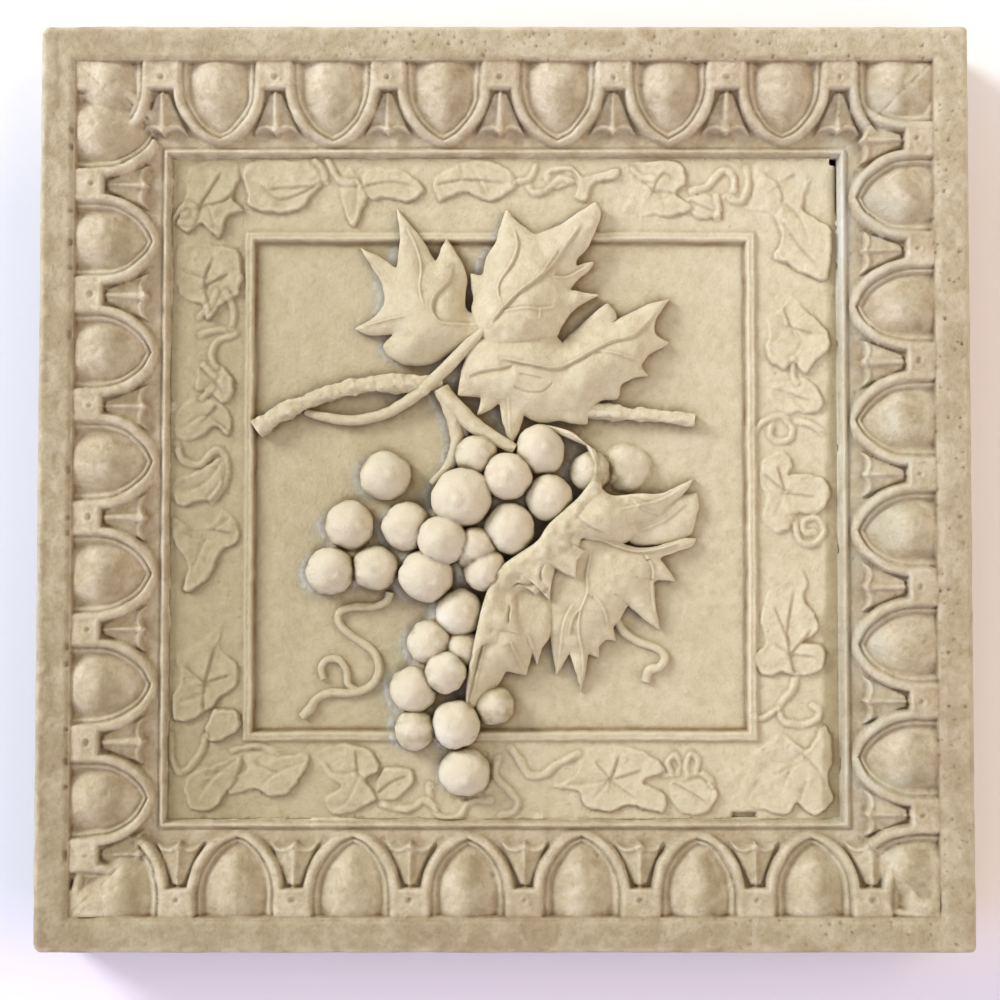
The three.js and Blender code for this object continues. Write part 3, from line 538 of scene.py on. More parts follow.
# Low leaves of the frieze as closed outlines, each with its vein lines.
FRIEZE_LEAVES = [
    ([(-88.5, 81), (-87.5, 88), (-82, 90.5), (-75, 90.5), (-73.5, 86), (-75, 80), (-72, 76.5),
      (-76.5, 74.5),
      (-79, 68.6), (-84, 73), (-87.5, 70.2), (-91, 72.5), (-90, 76)],
     [[(-84, 78.5), (-81.5, 82.5), (-78, 88)], [(-83, 78), (-78, 79), (-74, 82.5)], [(-82, 77),
                                                                                     (-79.5, 70.5)]]),
    ([(-72.5, 88), (-67, 90.8), (-58, 90.5), (-51.5, 91), (-49.5, 86), (-53.5, 80.5), (-57, 76.6),
      (-64, 75.5),
      (-70.5, 77.5), (-71.5, 82)],
     [[(-67, 83), (-62.5, 79.6), (-56, 81.5), (-50.5, 85)], [(-64, 82.6), (-52, 83.2)]]),
    ([(-45.5, 84), (-43, 88.5), (-40, 85), (-38.2, 80), (-41.4, 71.8), (-44.2, 76)],
     [[(-40.6, 88), (-41, 80), (-41.6, 73)]]),
    ([(-39.5, 84), (-37, 88.6), (-32, 88.4), (-27, 87.2), (-22, 82.4), (-27, 79), (-32, 80.2),
      (-36.5, 79.5)],
     [[(-38, 83.5), (-31, 84.5), (-24, 82.8)]]),
    ([(-19.5, 85), (-15, 88.5), (-9, 90.6), (-3.5, 90), (1.5, 88), (3.8, 84), (0, 80.5), (-4, 79),
      (-8, 80.2),
      (-11, 81.6), (-16, 79.8), (-18.5, 79.2)],
     [[(-18, 84), (-10, 85), (1.5, 84)], [(-12.3, 90), (-11.6, 86), (-13, 84.5)], [(-7, 85),
                                                                                   (-5, 80.5)]]),
    ([(11.3, 84.5), (11.6, 88), (18, 89), (21.5, 86), (26, 87), (31.8, 88.2), (30.5, 85), (25, 84),
      (22.5, 79.2),
      (19.6, 80), (20, 84), (15, 82.4)],
     [[(13, 86.9), (18.5, 87.4), (20.6, 84.5), (21, 80)]]),
    ([(33, 77), (35.5, 82), (35, 89.5), (41, 90.4), (48.8, 89.6), (50.2, 84), (47.5, 81.2), (52, 77.5),
      (46.5, 74.8),
      (40, 75.2), (34, 74)],
     [[(41, 82), (37, 86), (36, 89)], [(41, 82), (44, 86.8), (48, 84)], [(41, 82), (47, 81),
                                                                         (40.5, 78.6)]]),
    ([(50.6, 80), (55, 81.3), (59.5, 78.6), (59.8, 74.6), (54, 74.2), (51.5, 76)],
     [[(51.5, 79), (58.8, 76)]]),
    ([(68.2, 84), (69.5, 90), (75, 91), (80.5, 89), (84.5, 86), (83, 79), (83.5, 76.2), (90.2, 71.4),
      (90.6, 64),
      (88.5, 57), (83, 58.8), (78, 61.6), (74.5, 63.2), (76.4, 69.6), (73.5, 75.5), (67, 76.8)],
     [[(77, 79), (76, 84), (71, 87.5)], [(77, 79), (82, 74), (84.6, 66)], [(77, 78), (73, 73)],
      [(77.6, 72.5), (82, 66), (87.5, 60)], [(76.6, 84), (81, 87)]]),
    ([(79.5, 53), (83.8, 48.6), (86.4, 46), (89.6, 42.4), (89.8, 38.6), (86, 34.5), (83, 31.2),
      (79.6, 34.2),
      (76.6, 32), (72.4, 36.5), (73, 42), (72.4, 47), (76, 49)],
     [[(79, 44), (82, 40), (79, 35)], [(79, 44), (86, 42)], [(79, 44), (77, 50)], [(79, 44),
                                                                                   (73.5, 39.4)]]),
    ([(83.2, 29.6), (87, 26.6), (88.2, 22.6), (85.4, 20), (81, 20.4), (77, 19.6), (73.4, 23.5),
      (73.2, 27.5), (77, 29)],
     [[(76, 26.5), (80, 25), (85, 23.5)], [(80, 25), (83.5, 19.5)]]),
    ([(70.8, 6.5), (73.6, 9), (77.4, 9.8), (79.4, 6), (78.4, 3.2), (84, 3.6), (89.6, 0.6), (89, -4.5),
      (86, -8),
      (80.5, -7), (79, -10.8), (75, -13.2), (71, -9), (72, -4), (70.4, 1)],
     [[(72, 3), (77, -1), (80, -1)], [(77, -1), (75, 6)], [(78, -2), (86, -3)], [(77, -2), (74, -9)]]),
    ([(80.8, -22), (83.4, -26.8), (82.2, -30.4), (86.2, -37.2), (85.2, -40.4), (81.8, -43), (87.4, -44),
      (87.2, -50),
      (81, -52.2), (76.4, -51.2), (70.6, -52), (68.8, -46.6), (71.5, -43), (70.4, -36), (72.6, -29),
      (76.5, -26.5)],
     [[(79, -50), (77.5, -40), (80, -27)], [(78.5, -46), (84.5, -39)], [(78, -46), (86, -47)],
      [(78, -46), (73.5, -43)], [(77.6, -42), (74, -33)]]),
    ([(69.5, -71.5), (76, -67.5), (80.4, -71), (83, -71.6), (87.6, -65.6), (90, -72), (88.8, -80),
      (90, -86), (84.5, -90.4),
      (80, -86.5), (77.5, -89.6), (70, -88.6), (66, -86), (62, -80.5), (61, -76), (66, -74.4)],
     [[(87.4, -66.4), (82, -72.6), (76.6, -81), (75.6, -86)], [(79, -77), (70, -81), (66.5, -86)],
      [(81.6, -73.6), (86, -78), (88, -83)], [(82.4, -81.4), (80, -88)], [(80, -76), (72, -75)]]),
    ([(22, -72.6), (28, -71), (34, -71.6), (39.5, -73.4), (44, -77.6), (38, -81), (43.6, -84.2),
      (43.4, -89), (38, -88.4),
      (34.4, -87.4), (28.6, -89), (22, -87.8), (20.4, -83.6), (13, -82.4), (19.6, -78.6)],
     [[(29, -80.5), (24.5, -75)], [(29, -80.5), (31.4, -73.4)], [(29, -80.5), (38, -77.6)], [(29, -80.5),
                                                                                             (36.6, -86)],
      [(29, -80.5), (24, -86)], [(29, -80.5), (17, -82)]]),
    ([(46, -80.4), (53.5, -80), (58.5, -83.4), (56.4, -88.6), (50, -90), (45.6, -86.4)],
     [[(47, -81.6), (53, -85), (56, -87.6)]]),
    ([(-34.2, -78.4), (-31, -77), (-26, -77.4), (-24.6, -80.4), (-27.2, -84), (-31, -86), (-35, -85.6)],
     [[(-35, -84), (-30.5, -80.6), (-26, -79)]]),
    ([(-52.4, -73.6), (-48, -71), (-42, -70.6), (-36.4, -72.4), (-34.2, -78), (-38, -80.4), (-35, -85.4),
      (-40, -88.4),
      (-47, -90), (-49, -85.4), (-44.5, -82.2), (-48.5, -79.4), (-50.2, -76)],
     [[(-40.4, -78), (-46, -78.6), (-50, -74.4)], [(-40.4, -78), (-41, -72)], [(-40, -80), (-43.5, -86.6),
                                                                               (-47, -88)],
      [(-40.4, -78), (-36, -83)]]),
    ([(-53.2, -73.6), (-55, -79), (-59, -84), (-64.2, -84.8), (-69, -83), (-75.6, -84.6), (-74.8, -79),
      (-70.6, -77.6),
      (-71.4, -74), (-66, -72.4), (-60, -73.4)],
     [[(-55, -75.5), (-62.5, -78.4), (-67.5, -83)], [(-62.5, -78.4), (-69, -75.6)]]),
    ([(-72.6, -73.6), (-72.4, -78), (-76, -84), (-80.5, -88.6), (-86, -88), (-87.8, -83), (-86, -78.6),
      (-80, -76.4)],
     [[(-73.6, -75), (-80, -80), (-84.6, -86.4)], [(-78.4, -78.6), (-82.4, -79.4)]]),
    ([(-82, -68.4), (-77.6, -69.8), (-72.4, -66.2), (-74, -61.4), (-80, -61), (-84.8, -63.6),
      (-90.6, -64.4), (-91.2, -58),
      (-89, -52), (-90, -46), (-84.5, -43), (-77.4, -37.6), (-78.6, -44), (-73.4, -49), (-74, -55),
      (-79, -59.4)],
     [[(-82, -66), (-82.6, -56), (-79, -42)], [(-82.6, -57), (-89.6, -59.4)], [(-82.4, -54), (-88, -49)],
      [(-82.4, -54), (-75, -51.6)]]),
    ([(-91.4, -8.6), (-91, -15), (-87.2, -21.6), (-88.4, -28.6), (-84.8, -28.4), (-80.2, -23.6),
      (-77.6, -18), (-73.2, -15),
      (-73.6, -9.6), (-78, -6), (-80.6, -10.4), (-86, -11.4)],
     [[(-76, -9), (-82, -14.4), (-86.4, -25)], [(-80, -12), (-75, -13)], [(-82, -14.4), (-89, -13)]]),
    ([(-92, 0.4), (-89.6, -5.4), (-84, -4.4), (-79.8, -3.6), (-77.2, 1), (-77.8, 8), (-82, 6), (-86, 4)],
     [[(-79, 5), (-83, 0.6), (-90, -2)]]),
    ([(-90.6, 13.2), (-91.2, 19), (-87.6, 23.4), (-83, 24.4), (-77.6, 22.4), (-75.2, 18), (-76.4, 13.8),
      (-80, 16.4),
      (-85, 13)],
     [[(-77, 16), (-83, 19.6), (-89, 15.6)], [(-82, 19.4), (-79, 22.6)]]),
    ([(-84.4, 33.4), (-80.4, 34.4), (-76, 31.6), (-74.4, 27), (-77, 22.8), (-81, 25.6), (-85, 27)],
     [[(-83, 32), (-79, 28), (-77.2, 24)]]),
    ([(-91.8, 60.6), (-90.2, 54), (-86, 50.6), (-83.6, 50.2), (-82, 46), (-78.6, 49.6), (-73.4, 53.6),
      (-72.6, 60),
      (-73.8, 65.4), (-80, 66.6), (-86, 67.4), (-91, 66)],
     [[(-81.6, 50), (-83, 57), (-80, 64.6)], [(-83, 57.4), (-89.6, 60)], [(-82.6, 55.6), (-76, 59)]]),
]

# Running stem and scrolls of the frieze: line, width.
FRIEZE_STEMS = [
    ([(-49.4, 91), (-47.4, 87.4), (-45.2, 84.6), (-41.4, 84.4)], 1.5),
    ([(-53, 91), (-50.4, 88), (-49.6, 84.6)], 1.4),
    ([(-91.8, 74), (-88.6, 78), (-85.6, 77), (-86.6, 73.4), (-89.6, 73.2)], 1.4),
    ([(6.4, 83.8), (8.2, 81.4), (12, 82.2)], 1.6),
    ([(3.6, 84.6), (7.2, 85.6), (8.6, 89)], 1.5),
    ([(35.6, 88), (38.2, 85.6), (41, 85.4)], 1.3),
    ([(52, 82), (56, 83), (58.6, 86), (61, 87.8), (63.6, 85.6), (63.2, 81.6), (60.6, 80)], 1.7),
    ([(58.6, 80.6), (59.4, 77), (59, 74.6)], 1.6),
    ([(62.6, 80), (65.6, 79.2), (67.6, 83.6), (67, 88.4)], 1.7),
    ([(68, 12.8), (70.2, 16.8), (72.6, 18.4), (76.4, 19.4), (79.4, 16.6), (78.6, 13.2), (75.6, 12.4),
      (73.2, 14.2),
      (73.8, 17.4)], 1.5),
    ([(80.4, 18), (84, 17.4), (87.6, 15)], 1.4),
    ([(79.8, -9), (81.4, -15), (85.4, -15.8), (88, -12), (86, -8.8), (82.4, -9.6), (82.6, -12.6),
      (85.2, -12.6)], 1.5),
    ([(80, -52), (78.8, -56), (75.4, -60.4), (76.6, -64.4), (81, -65.4), (85.4, -64), (86.4, -61.6),
      (84.4, -60.2)], 1.7),
    ([(74.8, -61), (70.8, -63.6), (68.2, -63)], 1.4),
    ([(44, -79.2), (49, -79.4), (54.4, -79), (57, -81.6)], 1.6),
    ([(46, -79), (44.8, -75.6), (46.8, -73.8), (48.4, -76.4), (47.4, -79)], 1.3),
    ([(50, -79.2), (49.8, -76), (51, -73.4), (53, -74.8), (52.4, -78.6)], 1.3),
    ([(1.6, -71.6), (4.2, -75.2), (7, -79.2), (11, -78.8), (14, -76.4), (20, -73.4)], 1.8),
    ([(-1.8, -74.6), (-2.6, -79), (1, -83), (3.6, -86), (2.6, -89), (-1, -90.2)], 1.8),
    ([(-20.6, -82), (-20, -86.4), (-17.4, -90.4), (-12.6, -90.4), (-9.6, -86.6), (-4, -86)], 1.7),
    ([(-33.6, -87), (-29, -88.4), (-25, -88), (-22, -86), (-18.6, -88)], 1.6),
    ([(-84, 42), (-79, 43.4), (-74.4, 42.2), (-79.2, 40.2), (-81, 36.4), (-79.6, 33)], 1.7),
    ([(-77, 53.4), (-75, 49), (-75.4, 44)], 1.6),
    ([(-84.4, 47), (-81, 50.4), (-79.8, 54)], 1.4),
    ([(-90.4, 11.6), (-88.6, 7.2), (-84, 6), (-80.6, 9.4), (-78, 9.6), (-76.6, 6), (-77, 1.4),
      (-80.6, -4)], 1.8),
    ([(-83, 33.6), (-80, 30.4)], 1.5),
    ([(-91.4, -68), (-91, -75), (-88.4, -78.4), (-83.4, -73.4), (-82, -68.6)], 1.5),
    ([(-83.4, 24.4), (-80.6, 27.4)], 1.5),
    ([(12, 82.4), (15.4, 85.4), (18.6, 84.6)], 1.3),
    ([(79.6, 35), (79.6, 31), (80.6, 28.6)], 1.4),
    ([(-74.6, -72.4), (-68, -71.2), (-62, -72.8)], 1.3),
]


def fillet_depth(x, z, ground):
    """The thin raised frame line around the sunk panel, with a groove at its foot."""
    left, right, bottom, top = PANEL
    wobble = 0.18 * lumps(x, z, 11.0, 101) + 0.1 * lumps(x, z, 3.0, 102)
    out = np.maximum.reduce([left - x, x - right, bottom - z, z - top]) + wobble
    raised = mix(PANEL_DEPTH, FILLET_DEPTH, smooth(-0.55, 0.35, out))
    raised += 0.30 * bell(out + 0.75, 0.4) + 0.3 * bell(out - 1.35, 0.35)
    return mix(raised, ground, smooth(1.9, 2.7, out)), bell(out + 0.5, 0.5) + 0.35 * bell(out - 2.6, 0.5)


def frieze_relief(x, z, height):
    """How far leaves and stems stand out from the frieze's ground, and where wash and painted shade lie in
    their lines and at their feet.
    """
    rise, ink = np.zeros(x.shape), np.zeros(x.shape)
    for k, (outline, veins) in enumerate(FRIEZE_LEAVES):
        edge = spline(outline, per_mm=1.1, closed=True)
        inside = outline_distance(x, z, edge, 2.0)
        near = inside > -1.5
        if not near.any():
            continue
        px, pz, d = x[near], z[near], inside[near]
        d = d + 0.34 * lumps(px, pz, 2.3, 105) + 0.16 * lumps(px, pz, 1.1, 107)
        # One side of each leaf sinks into the ground and the other stands clear of it.
        middle, lean = edge.mean(axis=0), 5.6 + hand_cut(k, 25, 0.9)
        tilt = ((px - middle[0]) * math.cos(lean) + (pz - middle[1]) * math.sin(lean)) / 8.0
        local = height * np.clip(0.62 + 0.34 * tilt + 0.22 * lumps(px, pz, 6.0, 106), 0.16, 1.0)
        leaf = local * (0.90 * smooth(-0.10, 0.42, d) + 0.10 * bell(d - 0.8, 0.5))
        # Wash and painted shadow at the foot of the leaf's standing side.
        mark = 0.8 * bell(d + 0.15, 0.34) * smooth(0.3, 0.8, local / height)
        for vein in veins:
            away, side, along = line_distance(px, pz, spline(vein, per_mm=1.0), 5.0)
            fade = smooth(1.0, 0.7, along) * smooth(0.0, 0.8, d)
            stepped = 0.36 * side * smooth(0.0, 0.3, away) * np.exp(-away / 1.7) * (away < 5)
            leaf -= fade * (0.26 * bell(away, 0.42) - stepped)
            mark = np.maximum(mark, 0.42 * fade * bell(away, 0.45))
        leaf += (0.20 * lumps(px, pz, 3.4, 111 + k) + 0.12 * lumps(px, pz, 1.5, 112)) * smooth(0, 1, d)
        higher = leaf > rise[near]
        ink[near] = np.where(higher, mark, np.maximum(ink[near] * (d < 0.4), mark * (d < 0.1)))
        rise[near] = np.maximum(rise[near], leaf)
    for line, width in FRIEZE_STEMS:
        away, _, along = line_distance(x, z, spline(line, per_mm=1.4), 2.5)
        half = 0.56 * width
        ends = smooth(0.0, 0.06, along) * smooth(1.0, 0.94, along)
        away = away + 0.22 * lumps(x, z, 1.9, 108)
        stem = height * 0.62 * smooth(half + 0.3, half - 0.6, away) * mix(0.4, 1.0, ends)
        stem *= 0.8 + 0.35 * lumps(x, z, 3.0, 109)
        rise = np.where(away < width + 1, np.maximum(rise - 0.3 * bell(away - half - 0.5, 0.5), stem), rise)
        # Wash and painted shade along the feet of the stems.
        beside = 0.5 * bell(away - half - 0.3, 0.45) * (away < width + 1)
        ink = np.where(away < half, 0.0, np.maximum(ink, beside))
    return rise, ink


def slump_width(z):
    """Width of the tile's right margin that has slumped away from the frame, wider towards the foot."""
    return mix(1.0, 4.6, np.clip((90.0 - z) / 180.0, 0, 1))


def tile_depth(x, z, settings):
    """Depth of the tile's front: frieze, fillet and sunk panel."""
    ground = FRIEZE_DEPTH + 0.30 * brushed(x, z, 121) + 0.25 * pits(x, z, 3.2, 0.10, 131)
    rise, _ = frieze_relief(x, z, settings.frieze_height / MM)
    depth, _ = fillet_depth(x, z, ground)
    depth = np.where(rise > 0.05, np.minimum(depth, ground - rise), depth - np.minimum(rise, 0))
    depth += 0.06 * brushed(x, z, 141)
    # Plaster fills the gaps between the grapes.
    crowd = sum(bell(np.hypot(x - gx, z - gz), radius) for gx, gz, radius, _, _ in GRAPES)
    depth -= 3.8 * smooth(0.55, 1.0, crowd) + 0.3 * smooth(0.5, 0.9, crowd) * lumps(x, z, 2.0, 143)
    depth += 0.4 * smooth(TILE_W - slump_width(z), TILE_W - 0.4, x + 0.3 * lumps(x, z, 6.0, 151))
    # Open places of the joint: a hole in the top right corner, a slit below it and a chip at the foot.
    depth += 5.0 * (x > TILE_W - 1.9) * (z > TILE_H - 1.7)
    depth += 1.0 * bell(x - TILE_W, 0.7) * smooth(SLIT_FOOT, SLIT_FOOT + 4, z)
    chip = smooth(0.5, -0.3, np.maximum(np.abs(x - 65.6) - 3.2, np.abs(z + TILE_H) - 1.7))
    return depth + 1.9 * chip


def tile_ground(settings):
    """The tile's block with its front face worked by the relief."""
    xs = np.linspace(-TILE_W, TILE_W, int(2 * TILE_W / TILE_CELL))
    zs = np.linspace(-TILE_H, TILE_H, int(2 * TILE_H / TILE_CELL))
    rows, cols = len(zs) - 1, len(xs) - 1

    def place(row, col):
        x, z = xs[col], zs[row]
        y = tile_depth(x, z, settings) - FRONT
        return np.stack([x, y, z], axis=1)

    mesh = grid_mesh("relief_tile", rows, cols, place)
    bm = bmesh.new()
    bm.from_mesh(mesh)
    rim = [e for e in bm.edges if e.is_boundary]
    walls = bmesh.ops.extrude_edge_only(bm, edges=rim)["geom"]
    for vertex in (g for g in walls if isinstance(g, bmesh.types.BMVert)):
        vertex.co.y = 0.0
    bmesh.ops.holes_fill(bm, edges=[e for e in bm.edges if e.is_boundary], sides=0)
    bmesh.ops.triangulate(bm, faces=[f for f in bm.faces if len(f.verts) > 4])
    bm.to_mesh(mesh)
    bm.free()
    return place_object("relief_tile", close_up(mesh))


# ---- leaves ----------------------------------------------------------------------------------

# Each leaf sheet: heart (x, z), outline of (x, z, depth) with the numbers of its sharp corners, inner knots
# of (x, z, depth) that its surface is draped over, and its veins as (line, ridge height, side step).
LEAVES = {
    "upper_left": dict(
        heart=(-21, 47),
        outline=[
            (-30.0, 77.0, 6.4), (-28.8, 68, 5.4), (-29.8, 60.0, 6.0), (-33.5, 62.8, 6.4),
            (-40.2, 66.2, 7.6),
            (-36.6, 60.6, 6.8), (-33.6, 55, 6.4), (-33.4, 50, 6.2), (-37, 46, 6.8), (-41.6, 43.4, 7.6),
            (-37, 41.6, 7.2), (-30.6, 42.0, 6.8), (-33.6, 39.0, 7.2), (-32.4, 36.2, 7.4),
            (-27.4, 33.4, 7.4),
            (-20, 33.8, 7.0), (-12.8, 37.4, 6.0), (-6.0, 39.6, 4.6), (-3.0, 44.0, 3.2), (-6.4, 46.8, 4.0),
            (-10.2, 48.2, 5.2), (-10.9, 51.4, 5.0), (-10.4, 55.0, 5.4), (-10.4, 58.4, 5.6),
            (-12.8, 63.5, 5.8),
            (-16.2, 68.6, 6.4), (-17.6, 65.4, 6.0), (-19.0, 62.0, 6.4), (-21.0, 65.4, 6.0),
            (-24.4, 70.4, 6.0)],
        corners=(0, 2, 4, 9, 11, 12, 19, 25, 27),
        knots=[(-21, 47, 1.5), (-26.6, 60, 2.9), (-26.4, 54, 2.4), (-15, 54.6, 3.0), (-14, 49, 2.4),
               (-22, 39.4, 2.0),
               (-27, 38, 3.6), (-31.4, 46, 4.0), (-12.6, 42.4, 2.0), (-27.6, 67, 3.9), (-17, 61, 4.2),
               (-28, 46, 2.6),
               (-37, 63, 6.0), (-37, 44, 5.6)],
        veins=[([(-26.8, 71), (-24.0, 65), (-22.8, 59.6), (-23.2, 54), (-22.0, 48.6)], 0.55, 0.25),
               ([(-14.4, 60.4), (-15.2, 56.4), (-18.8, 52.2), (-19.8, 48.2), (-17.4, 44.6), (-12, 44.2),
                 (-6.6, 44.4)],
                0.5, -0.5),
               ([(-39, 44), (-33, 45.4), (-27, 46.4)], 0.25, 0.1), ([(-37.4, 63), (-31.6, 56)],
                                                                    0.25, 0.2)]),
    "upper_right": dict(
        heart=(4.0, 49.5),
        outline=[
            (0.6, 76.4, 5.4), (-1.4, 71.0, 5.0), (-2.4, 67.2, 5.2), (-5.2, 62.6, 5.6), (-6.2, 58.4, 5.8),
            (-9.5, 59.0, 6.2), (-9.1, 54.8, 5.6), (-8.6, 51.4, 5.2), (-9.2, 48.6, 4.2), (-8.0, 44.4, 3.0),
            (-6.0, 40.8, 2.8), (-3.0, 37.2, 3.2), (0.8, 35.6, 3.8), (5.2, 36.6, 4.6), (10.2, 39.0, 4.6),
            (13.8, 40.4, 4.6), (15.6, 43.6, 5.0), (18.4, 47.6, 5.4), (22.0, 50.4, 5.6), (26.4, 52.6, 6.0),
            (22.0, 53.4, 5.6), (18.0, 54.2, 5.6), (20.4, 57.2, 5.4), (23.6, 59.6, 5.6), (24.8, 62.0, 5.8),
            (22.4, 61.6, 5.6), (19.9, 60.8, 5.8), (20.2, 62.8, 5.4), (22.6, 65.2, 5.0), (24.6, 69.4, 4.8),
            (26.6, 74.6, 5.0),
            (25.4, 78.4, 4.8), (21.4, 76.2, 4.8), (16.0, 72.4, 5.0), (8.6, 69.4, 5.2), (4.2, 72.4, 5.2)],
        corners=(0, 5, 19, 21, 24, 26, 31, 34),
        knots=[(-2, 44, 0.6), (1.0, 47.5, -0.6), (5, 42, -0.2), (10, 45, 0.9), (-3, 54, 1.6),
               (-1, 64, 2.8), (6, 60, 1.9),
               (9, 54, 0.7), (15, 50, 2.0), (14, 63, 2.6), (20, 69, 2.9), (8, 66, 3.0), (20, 51.6, 3.6),
               (0, 70, 3.6)],
        veins=[([(-4.2, 43.6), (-1.2, 47.4), (3.4, 52.2), (8.4, 56.2), (13.4, 60.8), (17.4, 66.8),
                 (21.6, 72.6)], 0.6, 0.5),
               ([(-1.4, 50.6), (-1.6, 55.2), (1.8, 60.6), (3.6, 65.8), (2.6, 71)], 0.55, 0.3),
               ([(-0.6, 47.4), (5.6, 48.2), (10, 48.0), (14, 48.8)], 0.45, -0.3), ([(9.8, 48.2),
                                                                                    (9.6, 45.2)],
                                                                                    0.3, 0.0),
               ([(13.6, 57.4), (17.4, 57.6), (22.6, 60.6)], 0.4, -0.5), ([(10.2, 57.8), (14.6, 64.8)],
                                                                         0.25, 0.2)]),
    "right": dict(
        heart=(8.0, 31.0),
        outline=[
            (-12.0, 31.2, 4.6), (-12.6, 28.0, 5.0), (-13.0, 24.8, 5.8), (-9.6, 24.6, 5.6),
            (-6.4, 24.4, 5.4),
            (-7.0, 21.6, 5.8), (-7.8, 19.2, 6.4), (-4.4, 20.8, 5.6), (-1.4, 22.6, 5.2), (-0.4, 17.0, 5.4),
            (1.8, 11.0, 6.0), (4.0, 15.0, 5.4), (5.2, 19.6, 5.2), (7.6, 18.0, 5.6), (11.0, 17.2, 5.8),
            (15.0, 18.0, 5.6), (19.0, 17.0, 5.8), (22.8, 16.8, 6.2), (23.6, 20.6, 6.2), (27.0, 23.6, 6.4),
            (31.2, 24.0, 6.6), (32.2, 27.8, 6.4), (35.2, 29.6, 6.6), (39.8, 30.4, 7.4), (37.6, 33.4, 6.4),
            (40.2, 36.4, 6.6), (45.8, 39.6, 7.6), (42.0, 41.6, 6.4), (41.6, 45.4, 6.4), (45.8, 51.9, 7.0),
            (38.4, 49.6, 6.0), (34.2, 47.0, 5.8), (30.6, 44.4, 5.8), (30.8, 47.6, 6.0), (28.6, 50.6, 6.4),
            (25.0, 48.0, 5.8), (22.4, 44.0, 6.0), (20.2, 41.0, 6.0), (17.6, 38.6, 6.0), (15.6, 39.8, 5.4),
            (13.0, 42.6, 4.8),
            (8, 43.6, 4.8), (-1, 42.6, 4.0), (-8.4, 39.8, 4.0)],
        corners=(0, 2, 4, 6, 8, 10, 12, 17, 23, 24, 26, 29, 32, 34, 38),
        knots=[(-6, 33, 1.4), (0, 35, 0.8), (4, 30, 0.6), (12, 29, 1.2), (10, 36, 1.4), (20, 31, 2.0),
               (28, 34, 3.0),
               (20, 38, 2.8), (36, 41, 3.6), (16, 22, 3.2), (24, 26, 3.6), (0, 25, 2.4), (1.2, 17, 4.2),
               (-8, 29, 3.0),
               (34, 35, 4.0), (8, 23, 2.6), (42, 48, 5.4)],
        veins=[([(-1.4, 34.6), (6.0, 33.2), (13.4, 32.0), (18.6, 33.8), (24.4, 37.2), (29.6, 39.8),
                 (35.4, 41.4), (42, 48)],
                0.6, 0.6),
               ([(-10.0, 30.0), (-6.6, 31.2), (-2.6, 31.8), (2.4, 33.0)], 0.45, 0.5),
               ([(2.4, 27.0), (6.4, 25.4), (10.6, 25.6), (13.4, 28.2)], -0.35, 0.0), ([(4, 30.4),
                                                                                       (10.6, 29.0)],
                                                                                       -0.25, 0.1),
               ([(1.0, 24), (1.4, 14)], 0.3, 0.2), ([(24.4, 37.2), (31, 36), (37.4, 34.2)], 0.25, 0.3)]),
    "shoulder": dict(
        heart=(30, -10),
        outline=[
            (25.2, -0.1, 2.8), (28.1, -2.2, 3.4), (31.0, -2.8, 3.8), (36.7, -2.0, 4.8), (42.5, -2.2, 5.6),
            (47.4, 0.0, 6.2),
            (52.2, 2.5, 7.4), (51.2, 0.3, 7.0), (48.2, -3.1, 6.6), (45.2, -5.5, 6.4), (42.5, -8.8, 6.2),
            (39.3, -10.5, 6.0),
            (36.6, -11.0, 6.2), (38.0, -12.4, 6.6), (35.2, -14.6, 5.8), (31.7, -16.0, 5.0),
            (27.4, -15.4, 4.0),
            (23.1, -14.7, 2.6), (19.5, -13.7, 1.2), (16.6, -10.9, 0.6), (20.9, -5.8, 1.0)],
        corners=(6, 13),
        knots=[(24, -8, -0.6), (30, -9, 0.6), (36, -6.4, 2.4), (43, -4, 4.4), (28, -5, 0.6),
               (33, -12, 2.6), (24, -12, 0.6),
               (20, -10, -0.3), (49, 0.6, 6.2)],
        veins=[([(50, 1), (44, -3.2), (37, -5.2), (31, -6.4)], 0.35, 0.3), ([(36, -3.2), (39, -4.4),
                                                                             (42, -4.0)], -0.3, 0.0),
               ([(34.6, -3.4), (38, -6.4), (42.6, -7.6)], 0.3, 0.1), ([(19, -8), (23, -11.4), (27, -13)],
                                                                      -0.35, 0.2)]),
    "middle_lobe": dict(
        heart=(43.5, -9.6),
        outline=[
            (33.6, -8.4, 6.4), (39.0, -6.2, 6.6), (44.4, -4.2, 7.0), (48.8, -2.4, 7.4), (53.2, -1.6, 8.0),
            (53.6, -5.2, 7.8),
            (52.6, -9.4, 7.6), (51.6, -13.2, 7.8), (47.4, -15.2, 7.4), (41.0, -16.2, 6.8),
            (34.4, -15.4, 6.2)],
        corners=(4, 7),
        knots=[(38, -10, 5.8), (44, -10, 6.2), (49, -7, 6.8), (48, -12, 6.8)],
        veins=[([(38, -12), (44, -9.4), (50, -4.6)], 0.2, 0.25)]),
    "lower": dict(
        heart=(24.5, -24.0),
        outline=[
            (13.7, -22.3, 4.0), (18.8, -16.6, 3.2), (23.8, -13.4, 3.6), (29.5, -14.2, 4.2),
            (33.8, -16.3, 4.6),
            (38.9, -16.9, 5.2), (44.6, -15.7, 5.8), (48.9, -14.3, 6.6), (52.9, -14.2, 7.6),
            (51.8, -16.5, 7.2),
            (48.2, -17.6, 6.8), (44.6, -18.7, 6.6), (42.5, -20.0, 6.8), (45.0, -22.9, 7.0),
            (47.2, -26.1, 7.8),
            (43.0, -25.8, 7.0), (40.9, -26.3, 6.8), (41.5, -32.4, 7.0), (42.2, -36.1, 7.4),
            (42.9, -39.7, 8.0),
            (39.7, -37.6, 7.6), (36.6, -35.0, 7.2), (34.0, -32.6, 6.8), (32.7, -34.6, 6.8),
            (31.7, -37.0, 7.0),
            (29.8, -38.8, 6.8), (30.7, -42.6, 7.8), (28.0, -42.0, 7.2), (26.0, -43.9, 7.2),
            (26.2, -47.2, 7.8),
